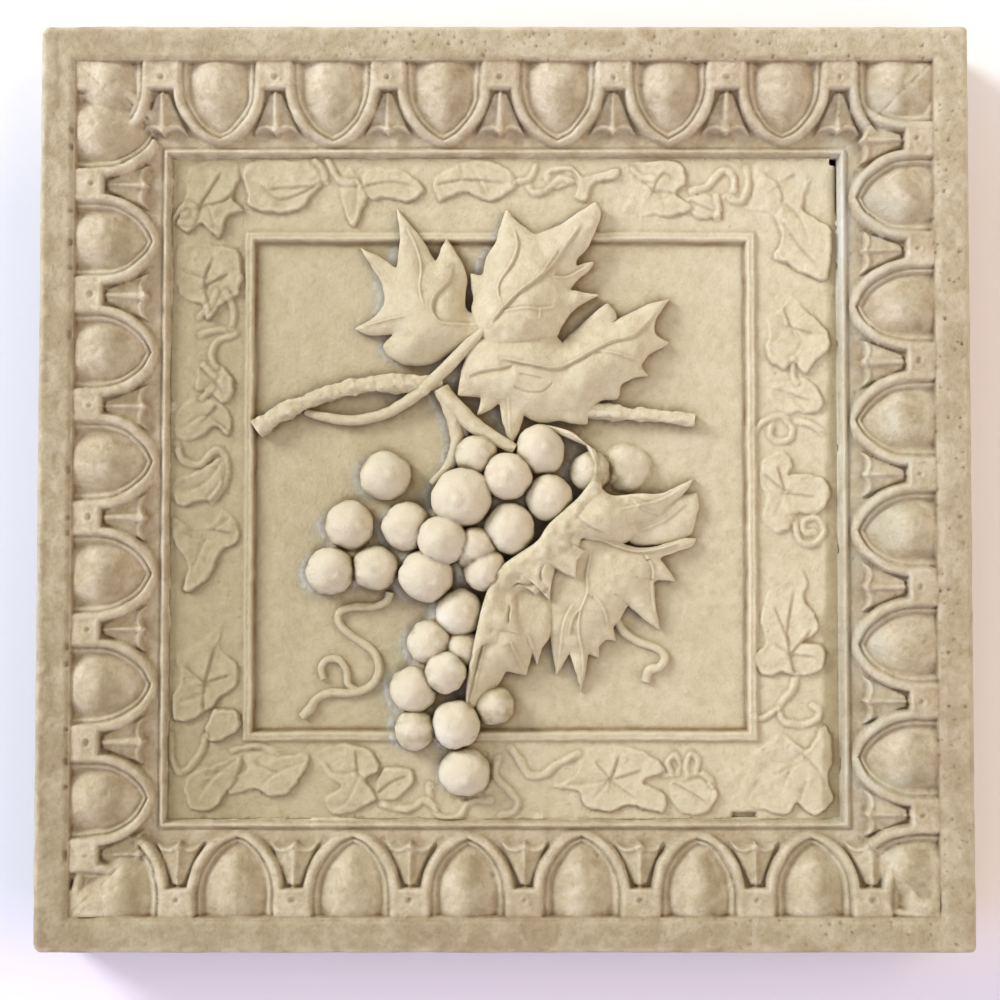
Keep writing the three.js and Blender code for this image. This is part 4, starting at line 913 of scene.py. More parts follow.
            (24.2, -46.7, 7.4), (22.9, -45.9, 7.2), (22.5, -50.3, 7.4), (21.9, -56.9, 8.2),
            (20.1, -52.9, 7.6),
            (17.9, -45.9, 7.0), (16.3, -48.5, 7.4), (14.2, -51.9, 8.0), (13.3, -46.7, 7.0),
            (12.6, -41.7, 6.4),
            (11.7, -33.0, 5.4)],
        corners=(8, 12, 14, 16, 19, 22, 24, 26, 28, 29, 31, 33, 35, 37),
        knots=[(18, -20, 4.4), (24, -18, 4.4), (30, -19, 4.2), (36, -21, 4.4), (40, -19, 5.0),
               (28, -26, 3.6), (22, -27, 4.0),
               (34, -27, 4.4), (37, -32, 5.6), (26, -34, 4.2), (20, -35, 3.8), (20, -42, 4.8),
               (15, -38, 4.8), (16, -29, 4.6),
               (21.6, -48, 5.8), (30, -36, 5.6)],
        veins=[([(22.6, -14.4), (26.4, -14.8), (31.2, -16.8), (36.6, -18.0), (42.6, -17.2),
                 (48.4, -15.4)], 0.75, 0.5),
               ([(38.0, -18.2), (40.6, -22.6), (40.4, -28), (41.6, -35)], 0.55, 0.4),
               ([(23.6, -18), (22.4, -24), (22.6, -29), (20.6, -34.4), (20.2, -40), (21.4, -46),
                 (21.8, -53)], 0.45, 0.2),
               ([(22.6, -29), (25.6, -31.4), (27.4, -34.6), (28.4, -39)], 0.35, 0.2),
               ([(20.8, -33.6), (18.6, -36.2), (17.6, -41)], 0.4, -0.2), ([(18.6, -32.2), (16.2, -37),
                                                                           (15.4, -42.6), (14.6, -48)],
                                                                           0.35, 0.3)]),
    "tongue": dict(
        heart=(4.4, -38),
        outline=[
            (12.7, -31.4, 4.6), (12.6, -40.6, 5.4), (10.4, -44.2, 5.8), (8.9, -49.3, 6.6),
            (7.6, -46.0, 6.0), (6.0, -52.1, 7.4),
            (3.3, -51.5, 6.6), (0.5, -50.6, 6.2), (-0.8, -53.2, 6.4), (-4.2, -57.5, 6.2),
            (-10.3, -62.1, 4.8),
            (-9.9, -57.5, 3.6), (-8.8, -49.6, 3.4), (-7.2, -41.7, 3.0), (-5.2, -33.8, 2.8),
            (-2.6, -28.8, 2.8),
            (3.0, -25.8, 3.0), (10.2, -25.6, 3.6)],
        corners=(3, 5, 7, 10),
        knots=[(0, -36, 2.4), (4, -43, 2.8), (-4, -47, 2.2), (8, -38, 3.6), (-6.6, -54, 3.0),
               (2, -47, 3.4), (8, -44, 4.2)],
        veins=[([(-5.4, -42), (-7.2, -50), (-9.4, -59)], 0.4, 0.3), ([(1.6, -42.6), (3.6, -47),
                                                                      (5.6, -51)], 0.35, 0.2),
               ([(6.6, -41), (8.0, -45), (8.8, -48.6)], 0.3, 0.2)]),
}

# The leaf's rolled-over edge: (left x, left z, crest depth, fall to the right edge, right edge points up to
# the next row).
ROLLED_EDGE = [
    (9.4, 17.2, 5.6, 0.6, [(9.4, 17.0)]),
    (13.7, 16.4, 4.2, 0.8, [(13.9, 14.6)]),
    (18.8, 14.8, 3.2, 0.8, [(18.6, 12.6)]),
    (22.4, 11.2, 2.6, 0.8, [(24.8, 9.8)]),
    (24.2, 6.0, 2.2, 1.0, [(26.6, 5.6)]),
    (23.4, 1.0, 1.6, 1.4, [(26.6, 0.0)]),
    (20.2, -3.3, 0.6, 1.4, [(26.8, -5.0)]),
    (15.9, -6.9, -0.2, 1.8, [(25.2, -10.6), (23.1, -13.2)]),
    (11.6, -10.9, -0.6, 2.4, [(20.8, -14.8), (20.3, -17.0), (22.2, -17.9), (19.6, -20.4)]),
    (9.1, -15.2, -0.8, 2.8, [(19.3, -25.2), (16.6, -24.2), (13.9, -22.5)]),
    (3.7, -18.6, -0.6, 3.0, [(12.9, -25.9), (12.3, -31.5), (10.2, -28.2)]),
    (-1.3, -22.2, -0.4, 2.8, [(8.7, -29.8), (6.9, -28.2), (3.8, -29.4)]),
    (-4.2, -27.0, -0.2, 2.6, [(3.0, -32.4), (3.6, -36.7)]),
    (-6.4, -33.8, 0.2, 2.4, [(4.4, -40.6), (1.7, -40.2), (0, -39.6)]),
    (-8.1, -41.7, 0.8, 2.0, [(-0.9, -43.3), (-3.1, -42.2), (-5.2, -41.8)]),
    (-9.8, -49.6, 1.8, 1.2, [(-6.9, -46.0), (-8.0, -52.0)]),
    (-10.7, -57.5, 3.2, 0.8, [(-9.4, -57.5)]),
    (-10.4, -62.2, 4.8, 0.4, [(-10.2, -62.2)]),
]


def draped(x, z, knots, stiffness=6.0):
    """Depth of a smooth sheet laid over the knots (a thin-plate spline)."""
    p = np.asarray(knots, float)

    def kernel(dx, dz):
        square = dx**2 + dz**2
        return 0.5 * square * np.log(square + 1e-9)

    n = len(p)
    system = np.zeros((n + 3, n + 3))
    apart = p[:, None] - p[None, :]
    system[:n, :n] = kernel(apart[..., 0], apart[..., 1]) + stiffness * np.eye(n)
    system[:n, n] = system[n, :n] = 1.0
    system[:n, n + 1:] = p[:, :2]
    system[n + 1:, :n] = p[:, :2].T
    weight = np.linalg.solve(system, np.concatenate([p[:, 2], np.zeros(3)]))
    depth = weight[n] + weight[n + 1] * x + weight[n + 2] * z
    for (px, pz, _), w in zip(p, weight):
        depth = depth + w * kernel(x - px, z - pz)
    return depth


def vein_rise(x, z, veins):
    """Thin ridges and side steps that the veins and folds of a leaf add."""
    rise = np.zeros(x.shape)
    for line, ridge, step in veins:
        away, side, along = line_distance(x, z, spline(line, per_mm=1.2), 8.0)
        fade = smooth(0.0, 0.10, along) * smooth(1.0, 0.88, along)
        lift = 0.95 * ridge * bell(away, 0.32)
        lift = lift + 0.9 * step * side * smooth(0, 0.4, away) * np.exp(-away / 2.6)
        lift -= 0.5 * max(ridge, 0.0) * bell(away, 2.4)
        rise += np.where(away < 8.0, fade * lift, 0.0)
    return rise


def star_shaped(rim, heart):
    """Blunt the points of a closed line a little and keep it turning one way round its heart."""
    for _ in range(3):
        rim = 0.25 * np.roll(rim, 1, 0) + 0.5 * rim + 0.25 * np.roll(rim, -1, 0)
    dx, dz = rim[:, 0] - heart[0], rim[:, 1] - heart[1]
    reach, turn = np.hypot(dx, dz), np.unwrap(np.arctan2(dz, dx))
    way, least = np.sign(turn[-1] - turn[0]), 0.0015 * np.arange(len(rim))
    turn = way * (np.maximum.accumulate(way * turn - least) + least)
    return np.column_stack([heart[0] + reach * np.cos(turn), heart[1] + reach * np.sin(turn), rim[:, 2:]])


def leaf_piece(name, heart, outline, corners, knots, veins, sheet):
    """A cast leaf: a draped sheet with veins, its edge rounded over and rooted in the panel."""
    rim = star_shaped(spline(outline, per_mm=2.2, closed=True, corners=corners), heart)
    shaken = [lumps(rim[:, 0], rim[:, 1], 2.0, seed) for seed in (181, 182)]
    rim[:, :2] += 0.16 * np.stack(shaken, 1)
    reach = np.hypot(rim[:, 0] - heart[0], rim[:, 1] - heart[1]).max()
    rings, cols = int(reach / LEAF_RING), len(rim)
    rows = rings + 5
    ground = np.array(outline + knots, float)

    def place(row, col):
        edge = rim[col % cols]
        share = np.clip(row / rings, 0, 1)
        inward = np.interp(row, [rings, rings + 1, rings + 2, rings + 3], [1.0, 1.0, 0.975, 0.92])
        scale = np.where(row > rings, inward, share)
        x = heart[0] + (edge[:, 0] - heart[0]) * scale
        z = heart[1] + (edge[:, 1] - heart[1]) * scale
        lip_x, lip_z = np.where(row > rings, edge[:, 0], x), np.where(row > rings, edge[:, 1], z)
        depth = draped(lip_x, lip_z, ground)
        inside, _, _ = line_distance(lip_x, lip_z, rim[:, :2], 3.0)
        inside = np.where(row >= rings, 0.0, inside)
        depth -= vein_rise(lip_x, lip_z, veins) * smooth(0.0, 1.2, inside)
        depth += 0.34 * lumps(lip_x, lip_z, 5.5, 161) + 0.20 * lumps(lip_x, lip_z, 2.4, 171)
        depth += 1.1 * round_over(1 - np.clip(inside / 2.0, 0, 1))
        lip = np.minimum(depth, PANEL_DEPTH - 0.5)
        under = np.interp(row, [rings, rings + 1, rings + 2, rings + 3], [0.0, 0.45, 1.0, 1.6]) * sheet
        depth = np.where(row > rings, np.minimum(lip + under, ROOTED), lip)
        depth = np.where(row >= rings + 4, ROOTED, depth)
        x = np.where(row == rings + 5, heart[0], x)
        z = np.where(row == rings + 5, heart[1], z)
        return np.stack([x, depth - FRONT, z], axis=1)

    mesh = grid_mesh(name, rows, cols, place)
    return place_object(name, close_up(mesh, 0.0003))


def rolled_edge_piece(sheet):
    """The strip of leaf that has rolled over towards the front, with its torn inner edge."""
    left = np.array([row[:4] for row in ROLLED_EDGE], float)
    numbered = np.arange(len(left), dtype=float)
    edge_at, edge = [], []
    for k, row in enumerate(ROLLED_EDGE):
        for j, point in enumerate(row[4]):
            edge_at.append(k + j / len(row[4]))
            edge.append(point)
    edge = np.array(edge, float)
    per_row, across = 16, 30
    count = per_row * (len(left) - 1)
    at = np.arange(count + 1) / per_row
    ring_share = np.concatenate([np.linspace(0, 1, across + 1), [0.96, 0.5, 0.06]])
    ring_under = np.concatenate([np.zeros(across + 1), [1.0, 1.3, 1.6]])
    around = len(ring_share)

    def eased(values):
        base = np.interp(at, numbered, values)
        return np.convolve(np.pad(base, 5, mode="edge"), np.ones(11) / 11, "valid")

    lx, lz, crest, fall = (eased(left[:, k]) for k in range(4))
    lx[[0, -1]], lz[[0, -1]] = left[[0, -1], 0], left[[0, -1], 1]
    rx, rz = np.interp(at, edge_at, edge[:, 0]), np.interp(at, edge_at, edge[:, 1])

    def place(row, col):
        ring = col % around
        k = np.clip(row - 1, 0, count)
        share = ring_share[ring]
        tip = (row == 0) | (row == count + 2)
        share = np.where(tip, 0.5, share)
        x, z = mix(lx[k], rx[k], share), mix(lz[k], rz[k], share)
        width = np.maximum(np.hypot(rx[k] - lx[k], rz[k] - lz[k]), 0.2)
        walked = share * width
        depth = crest[k] + fall[k] * share ** 1.6
        roll = np.minimum(3.2, 0.5 * width)
        depth += 2.2 * round_over(1 - np.clip(walked / roll, 0, 1))
        depth += 1.1 * round_over(1 - np.clip((width - walked) / 1.8, 0, 1))
        depth += (0.60 * lumps(x, z, 3.6, 191) + 0.46 * lumps(x, z, 1.8, 192)) * smooth(2.0, 5.0, width)
        torn = 1.1 * bell(share - 0.72 + 0.2 * lumps(x, z, 4.0, 193), 0.05)
        torn *= smooth(0.0, 0.5, lumps(x, z, 5.0, 194))
        depth += torn * smooth(4.0, 7.0, width)
        under = np.where(tip, 0.5, ring_under[ring]) * mix(sheet, 2.0 * sheet, 1 - share)
        depth = np.minimum(depth + under, ROOTED)
        return np.stack([x, depth - FRONT, z], axis=1)

    mesh = grid_mesh("leaf_rolled_edge", count + 2, around, place)
    return place_object("leaf_rolled_edge", close_up(mesh))


# ---- grapes ----------------------------------------------------------------------------------

# Each grape: x, z, radius, stand from the panel's ground, whitish primer share.
GRAPES = [
    (-32.6, 2.7, 7.1, 9.0, 0.1), (-42.5, -10.8, 6.7, 9.0, 0.0), (-26.9, -11.3, 6.8, 9.5, 0.2),
    (-47.6, -23.4, 6.8, 9.0, 0.1), (-35.5, -22.6, 6.4, 8.5, 0.2), (-21.3, -24.5, 7.6, 11.5, 0.3),
    (-16.8, -14.8, 6.9, 13.4, 0.0), (-11.7, -3.1, 8.3, 13.2, 0.1), (-7.6, 8.4, 5.8, 9.0, 0.2),
    (0.9, 2.7, 6.8, 12.0, 0.0), (9.8, 9.8, 6.9, 10.0, 0.1), (12.1, -3.1, 6.4, 10.0, 0.5),
    (1.4, -11.7, 7.0, 11.0, 0.7), (23.6, 4.0, 5.6, 8.0, 0.5), (33.6, 4.9, 7.4, 5.0, 0.0),
    (-5.5, -23.0, 5.9, 11.0, 0.5), (-8.1, -17.2, 6.1, 10.5, 0.2), (-12.5, -34.7, 6.6, 9.5, 0.9),
    (-20.3, -42.9, 6.3, 9.0, 0.3), (-16.0, -50.7, 5.7, 11.0, 0.3), (-24.9, -55.7, 6.3, 9.0, 0.3),
    (-24.5, -66.6, 5.6, 8.5, 0.3), (-13.2, -65.1, 6.5, 10.5, 0.8), (-2.7, -60.1, 5.5, 7.2, 0.1),
    (-10.9, -78.1, 7.2, 8.5, 0.6), (-11.5, -44.8, 5.8, 8.0, 0.6),
]


def grape_scar(index):
    """Direction of the small scar where the grape's flower sat, and how far it stands out."""
    rng = np.random.default_rng(200 + index)
    scar = np.array([rng.uniform(-0.35, 0.45), -0.85, rng.uniform(-0.45, 0.3)])
    return scar / np.linalg.norm(scar), rng.choice([-0.06, 0.08, 0.07]), rng.uniform(0.95, 1.04)


def grape_middle(x, z, radius, stand):
    return np.array([x, PANEL_DEPTH - stand + radius - FRONT, z])


def grape_piece(index, x, z, radius, stand):
    """One berry: a slightly uneven ball with a small scar or dimple where the flower sat."""
    bm = bmesh.new()
    bmesh.ops.create_icosphere(bm, subdivisions=4, radius=1.0)
    mesh = bpy.data.meshes.new(f"grape_{index}")
    bm.to_mesh(mesh)
    bm.free()
    unit = read_points(mesh)
    unit /= np.linalg.norm(unit, axis=1)[:, None]
    swell = 1.0 + 0.050 * lumps(unit[:, 0] * 5 + index, unit[:, 2] * 5, 2.6, 210 + index)
    swell += 0.024 * lumps(unit[:, 0] * 9, unit[:, 2] * 9 + index, 1.7, 240 + index)
    scar, stud, tall = grape_scar(index)
    away = np.arccos(np.clip(unit @ scar, -1, 1))
    swell += stud * bell(away, 0.14) - 0.03 * bell(away - 0.30, 0.12)
    shape = np.array([1.0, 1.0, tall])
    middle = grape_middle(x, z, radius, stand)
    write_points(mesh, (unit * swell[:, None] * shape * radius + middle) * MM)
    return place_object(f"grape_{index}", mesh)


# ---- twig, stalks and tendrils ---------------------------------------------------------------

# Each rod: (x, z, depth) line, radius along it, and whether it is knotty and barked.
RODS = {
    "twig": dict(line=[(-68.2, 15.8, 8.4), (-64, 18.6, 8.0), (-59, 21.3, 7.8), (-52, 24.2, 7.8),
                       (-44, 26.8, 7.7),
                       (-35.5, 28.2, 7.6), (-26, 28.2, 7.6), (-17, 28.8, 7.4)],
                 radius=[2.6, 2.4, 2.3, 2.2, 2.4, 2.3, 2.5, 2.1], knots=True),
    "petiole": dict(line=[(-55, 20.6, 9.2), (-50, 19.2, 8.6), (-42, 18.2, 8.4), (-34, 19.6, 8.2),
                          (-27, 23.2, 7.6),
                          (-20.4, 28.2, 6.6), (-14, 34.4, 5.2), (-8.6, 39.8, 3.6), (-5.0, 43.4, 2.8)],
                    radius=[0.9, 1.3, 1.5, 1.5, 1.6, 1.7, 1.8, 1.5, 0.7]),
    "cut_twig": dict(line=[(19.6, 20.8, 8.0), (28, 20.4, 8.0), (36, 19.8, 8.1), (44, 19.2, 8.2),
                           (52.3, 18.2, 8.5)],
                     radius=[2.2, 2.1, 2.0, 1.9, 2.0], knots=True),
    "stem_left": dict(line=[(-17.4, 27, 7.4), (-15, 22, 7.6), (-13.2, 16, 8.0), (-13.4, 10, 8.4),
                            (-15.8, 5, 8.8),
                            (-20, 0.6, 9.4)],
                      radius=[2.3, 2.3, 2.1, 1.8, 1.5, 1.2]),
    "stem_right": dict(line=[(-17.6, 26, 7.0), (-13, 21.4, 6.6), (-8.8, 17, 6.2), (-3, 13.2, 5.8),
                             (2.8, 10, 5.8)],
                       radius=[2.0, 2.2, 2.2, 1.9, 1.5]),
    "stem_web": dict(line=[(-17.2, 27.2, 7.8), (-13.8, 21.8, 7.9), (-11.4, 17.6, 8.2),
                           (-10.4, 13.4, 9.2)],
                     radius=[1.8, 2.2, 1.9, 0.8]),
    "tendril_left": dict(line=[(-31.4, -29, 8.8), (-32.4, -31.6, 9.4), (-36, -33, 9.6), (-42, -33.2, 9.6),
                               (-45.4, -34.8, 9.6), (-45.4, -37.8, 9.6), (-41.6, -41.4, 9.6),
                               (-36.6, -44.8, 9.6),
                               (-34.4, -49.4, 9.6), (-36, -54.2, 9.6), (-41, -56.6, 9.6),
                               (-48, -56.8, 9.6),
                               (-51.6, -58.4, 9.6), (-53.4, -61.2, 9.6), (-55.6, -63.4, 9.7)],
                         radius=[1.2] + [1.15] * 12 + [1.4, 1.2]),
    "tendril_loop": dict(line=[(-40.4, -56.2, 9.7), (-43, -54.4, 9.6), (-43.4, -50.6, 9.6),
                               (-45.4, -47.8, 9.6),
                               (-48.6, -47.6, 9.6), (-50.4, -50, 9.6), (-49.6, -53, 9.6)],
                         radius=[1.0] * 7),
    "tendril_right": dict(line=[(30.8, -36.8, 9.2), (33, -40.2, 9.4), (37, -42.8, 9.6), (42, -44.6, 9.6),
                                (44.2, -47, 9.6), (42.6, -49.6, 9.6), (39.8, -50.6, 9.6),
                                (38.8, -53.8, 9.7)],
                          radius=[1.2, 1.2, 1.15, 1.15, 1.2, 1.2, 1.3, 1.2]),
}


def rod_piece(name, line, radius, knots=False):
    """A rod wrapped around its line, closed at both ends, with knots and bark where knots is set."""
    packed = np.hstack([np.asarray(line, float), np.asarray(radius, float)[:, None]])
    course = spline(packed, per_mm=2.5)
    points = np.stack([course[:, 0], course[:, 2] - FRONT, course[:, 1]], axis=1)
    girth = course[:, 3]
    ahead = np.gradient(points, axis=0)
    ahead /= np.linalg.norm(ahead, axis=1)[:, None]
    up = np.array([0.0, -1.0, 0.0]) - ahead * (-ahead[:, 1:2])
    up /= np.linalg.norm(up, axis=1)[:, None]
    beside = np.cross(ahead, up)
    count, around = len(points), 28
    rng = np.random.default_rng(len(name) * 7)
    if knots:
        walked = np.cumsum(np.linalg.norm(np.diff(points, axis=0, prepend=points[:1]), axis=1))
        at = rng.uniform(1.5, 3.0)
        while at < walked[-1]:
            ring = rng.uniform(0, 0.09) * bell(walked - at, 1.0)
            girth = girth * (1 + ring - 0.06 * bell(walked - at - 1.0, 0.4))
            at += rng.uniform(3.0, 9.5)
        girth = girth * (1 + 0.10 * lumps(walked, 0 * walked, 5.0, 305))

    def place(row, col):
        k = np.clip(row - 1, 0, count - 1)
        turn = 2 * np.pi * (col % around) / around
        r = np.where((row == 0) | (row == count + 1), 0.0, girth[k])
        r = r * (1 + 0.10 * lumps(k * 0.4, turn * 2.0, 2.2, 300 + len(name)))
        if knots:
            # Bark: lengthwise folds that wander, and short cracks.
            r = r * (1 + 0.08 * np.sin(4 * turn + 2.2 * lumps(k * 0.4, 0 * turn, 3.0, 307)))
            cracks = 0.16 * pits(k * 0.4, turn * 2.2, 2.2, 0.4, 309)
            r = r * (1 + 0.09 * lumps(k * 0.4, turn * 3.0, 1.3, 308) - cracks)
        out = np.cos(turn)[:, None] * up[k] + np.sin(turn)[:, None] * beside[k]
        return points[k] + out * r[:, None]

    mesh = grid_mesh(name, count + 1, around, place)
    return place_object(name, close_up(mesh))


# ---- paint -----------------------------------------------------------------------------------

def height_map(points, cell):
    """Highest front point in each cell of a grid over the plaque, holes filled from around."""
    nx, nz = int(2 * HALF_W / cell) + 3, int(2 * HALF_H / cell) + 3
    ix = ((points[:, 0] + HALF_W) / cell).astype(int) + 1
    iz = ((points[:, 2] + HALF_H) / cell).astype(int) + 1
    heights = np.full((nx, nz), -1e3)
    np.maximum.at(heights, (ix, iz), -points[:, 1])
    for _ in range(6):
        empty = heights < -1e2
        if not empty.any():
            break
        around = np.stack([np.roll(heights, s, a) for s in (1, -1) for a in (0, 1)]).max(axis=0)
        heights = np.where(empty, around, heights)
    return np.maximum(heights, 0.0), ix, iz


def box_blur(field, reach, times=2):
    for _ in range(times):
        for axis in (0, 1):
            total = sum(np.roll(field, s, axis) for s in range(-reach, reach + 1))
            field = total / (2 * reach + 1)
    return field


def mark_hollows(pieces):
    """Store how sunk each vertex lies below its surroundings, near and wide, as attributes."""
    points = [read_points(piece.data) / MM for piece in pieces]
    heights, ix, iz = height_map(np.concatenate(points), MAP_CELL)
    close, far = box_blur(heights, 1), box_blur(heights, 5)
    marked, start = [], 0
    for piece, own in zip(pieces, points):
        jx, jz = ix[start:start + len(own)], iz[start:start + len(own)]
        start += len(own)
        x, y, z = own.T
        inset = np.minimum(HALF_W - np.abs(x), HALF_H - np.abs(z))
        facing = np.maximum(smooth(0.6, 1.5, inset), smooth(1.6, 0.6, y + FRONT))
        store(piece.data, "hollow_near", facing * np.clip((close[jx, jz] + y) / 1.2, -1, 2))
        store(piece.data, "hollow_wide", facing * np.clip((far[jx, jz] + y) / 4.0, -1, 2))
        marked.append((heights, jx, jz, own))
    return marked


def store(mesh, name, values):
    layer = mesh.attributes.new(name, "FLOAT", "POINT")
    layer.data.foreach_set("value", values.astype(np.float32))


def mark_primer(piece, heights, ix, iz, points):
    """Store where the paint turns whitish grey: left of whatever stands high, and where whitish primer
    shows on the lower left cheeks of some grapes.
    """
    x, y, z = points.T
    own = -y
    blocked = np.zeros(len(points))
    smoothed = box_blur(heights, 1, 1)
    for away in (2, 3, 4, 6, 8, 10, 13, 16, 20):
        for rise in (-0.12, 0.12, 0.36):
            jx = np.clip(ix + int(round(away * math.cos(rise))), 0, heights.shape[0] - 1)
            jz = np.clip(iz + int(round(away * math.sin(rise))), 0, heights.shape[1] - 1)
            slope = (smoothed[jx, jz] - own) / (MAP_CELL * away)
            blocked += smooth(0.45, 1.5, slope) / 27.0
    primer = smooth(0.10, 0.62, blocked) * (x < 60)
    for gx, gz, radius, _, share in GRAPES:
        dx, dz = (x - gx) / radius, (z - gz) / radius
        cheek = smooth(-0.3, 0.8, -0.75 * dx - 0.62 * dz) * share
        on_ball = (np.hypot(dx, dz) < 1.04) & (y < -FRONT + PANEL_DEPTH - 1.0)
        primer = np.where(on_ball, np.maximum(primer * 0.6, cheek), primer)
    primer = np.where(y > -FRONT + PANEL_DEPTH - 1.2, 0.75 * primer, 0.8 * primer)
    corner = 0.4 * bell(np.hypot((x - 86) / 8, (z - 86) / 6), 1.0)
    store(piece.data, "primer", np.maximum(primer, corner))


def node(tree, kind, settings=None, **links):
    """Add a shader node with its settings and inputs; an input is a value or another socket."""
    made = tree.nodes.new(kind)
    for key, value in (settings or {}).items():
        setattr(made, key, value)
    for key, value in links.items():
        socket = made.inputs[int(key[1:])] if key[1:].isdigit() else made.inputs[key.replace("_", " ")]
        if isinstance(value, bpy.types.NodeSocket):
            tree.links.new(value, socket)
        else:
            socket.default_value = value
    return made


def ramp(tree, factor, stops):
    made = node(tree, "ShaderNodeValToRGB", i0=factor)
    band = made.color_ramp
    while len(band.elements) < len(stops):
        band.elements.new(0.5)
    for element, (at, colour) in zip(band.elements, stops):
        element.position = at
        element.color = colour
    return made.outputs[0]


def blend(tree, share, a, b, kind="MIX"):
    settings = {"data_type": "RGBA", "blend_type": kind}
    return node(tree, "ShaderNodeMix", settings, i0=share, i6=a, i7=b).outputs[2]


def maths(tree, operation, a, b=0.0, clamp=False):
    return node(tree, "ShaderNodeMath", {"operation": operation, "use_clamp": clamp}, i0=a, i1=b).outputs[0]


def mark_frame_paint_light_and_shade(piece, points):
    """Store the frame's tone: a darker border, painted light and shade on the eggs, and a change from one
    side to the other.
    """
    x, _, z = points.T
    inset = np.minimum(HALF_W - np.abs(x), HALF_H - np.abs(z))
    t = inset - BORDER
    on_border = smooth(0.6, -0.6, t)
    # Lighter towards the top; the border darker, most of all towards the left and the bottom.
    tone = 0.87 + 0.0005 * z - on_border * (0.14 - 0.0005 * x - 0.00017 * z)
    upright = HALF_W - np.abs(x) > HALF_H - np.abs(z)
    side = np.where(upright, np.where(z > 0, 0, 2), np.where(x > 0, 1, 3))
    u = np.choose(side, [x, -z, -x, z])
    for s in range(4):
        tag, across, _ = nearest_unit(s, u)
        # Painted light and shade on the eggs: a painted highlight on their left, and painted brown shade
        # from the crest to the right, with some dirt at the crest.
        away_from_light = (across, 8.5 - t, -across, t - 8.5)[s]
        away_from_light = away_from_light + 0.8 * lumps(x, z, 3.0, 148) + hand_cut(tag, 21, 1.0)
        on_egg = smooth(7.6, 6.2, np.hypot(across, (t - 7.0) * 0.72)) * (t > 0.5) * (side == s)
        patchy = 0.15 + hand_cut(tag, 22, 0.06) + 0.05 * lumps(x, z, 2.0, 147)
        brown = smooth(-1.6, 2.2, away_from_light) * smooth(7.5, 4.0, away_from_light)
        tone = tone + on_egg * (0.09 * bell(away_from_light + 3.4, 2.2) - patchy * brown)
    store(piece.data, "tone", np.clip(tone, 0.3, 1.0))
    # Wash in the border's pits, and painted shade in a thin line along the foot of the border's inner edge.
    in_pits = border_pits(x, z, inset) * smooth(0.5, 2.0, inset)
    store(piece.data, "wash", np.clip(0.55 * in_pits + 0.55 * bell(t - 0.25, 0.35), 0, 1) * (t < 1.0))
    # Whitish paint on the right side's inner band and in patches of its ornament: partly primer, partly a
    # painted highlight where that side faces the light.
    on_band = smooth(21.6, 22.8, t) * (0.34 + 0.30 * smooth(30, 80, z) + 0.25 * lumps(x, z, 8.0, 149))
    in_ornament = 0.42 * smooth(6.0, 9.0, t) * smooth(-0.2, 0.5, lumps(x, z, 5.0, 150))
    pale = smooth(84, 92, x) * np.maximum(on_band, in_ornament)
    store(piece.data, "primer", np.clip(pale, 0, 1))


def mark_tile_paint_light_and_shade(piece, points):
    """Store the tile's tone, mostly painted light and shade: lighter to the right, the frame's painted
    shadow on the left, brighter high surfaces and shaded grapes.
    """
    x, y, z = points.T
    # Painted light: lighter to the right and the top, falling off fastest on the left.
    tone = 0.785 + 0.0020 * np.minimum(x, 0) + 0.0010 * np.maximum(x, 0) + 0.0004 * z
    # Painted shadow of the frame on the left frieze, and painted shade on the deepest ground.
    tone -= 0.075 * smooth(-66, -76, x) + 0.02 * smooth(-FRONT + 9.4, -FRONT + 9.8, y)
    # Darker along the slumped right margin.
    margin = slump_width(z) + 0.8
    tone -= 0.30 * smooth(TILE_W - margin - 0.8, TILE_W - margin + 0.8, x + 0.5 * lumps(x, z, 5.0, 151))
    # Painted light: raised surfaces lighter.
    tone += 0.04 * smooth(-FRONT + 9.4, -FRONT + 6.5, y)
    # Grapes: darker overall, with painted shade to the lower right, and a painted highlight on the scar
    # with painted shade round it.
    for index, (gx, gz, radius, stand, _) in enumerate(GRAPES):
        out = (points - grape_middle(gx, gz, radius, stand)) / radius
        far = np.linalg.norm(out, axis=1)
        on_ball = (np.abs(far - 1.0) < 0.12) & (y < -FRONT + PANEL_DEPTH - 1.0)
        away = np.arccos(np.clip(out @ grape_scar(index)[0] / np.maximum(far, 1e-6), -1, 1))
        shaded = 0.155 + 0.15 * smooth(-0.2, 0.9, 0.6 * out[:, 0] - 0.6 * out[:, 2])
        shaded += 0.05 * lumps(x, z, 2.4, 152) + 0.10 * bell(away - 0.28, 0.12) - 0.10 * bell(away, 0.13)
        tone -= on_ball * shaded
    store(piece.data, "tone", np.clip(tone, 0.3, 1.0))


def mark_wash_and_shade(piece, points):
    """Store where brown wash and painted shade lie: in the frieze's lines and at its leaves' feet, along
    the fillet, beside the leaves' veins and where grapes touch.
    """
    x, y, z = points.T
    low = smooth(-FRONT + 6.0, -FRONT + 7.0, y)
    _, ink = frieze_relief(x, z, 1.0)
    _, foot = fillet_depth(x, z, np.full(x.shape, FRIEZE_DEPTH))
    ink = np.maximum(ink, foot) * low
    # Painted shade with a little wash beside the large leaves' veins.
    for leaf in LEAVES.values():
        for line, ridge, _ in leaf["veins"]:
            away, _, along = line_distance(x, z, spline(line, per_mm=1.2), 3.0)
            beside = bell(away - (0.6 if ridge > 0 else 0.0), 0.35) * smooth(1.0, 0.8, along)
            ink = np.maximum(ink, 0.30 * beside * (1 - low) * (away < 3.0))
    # Where two grapes touch, or one touches the filling, a thin dark line of wash and painted shade is
    # left.
    gaps = np.array([np.abs(np.linalg.norm(points - grape_middle(*grape[:4]), axis=1) - grape[2])
                     for grape in GRAPES])
    second = np.partition(gaps, 1, axis=0)[1]
    ink = np.maximum(ink, 1.5 * bell(second, 0.5) * (y < -FRONT + PANEL_DEPTH - 1.5))
    broken = 0.75 + 0.25 * lumps(x, z, 4.0, 145)
    store(piece.data, "wash", np.clip(ink * broken, 0, 1))


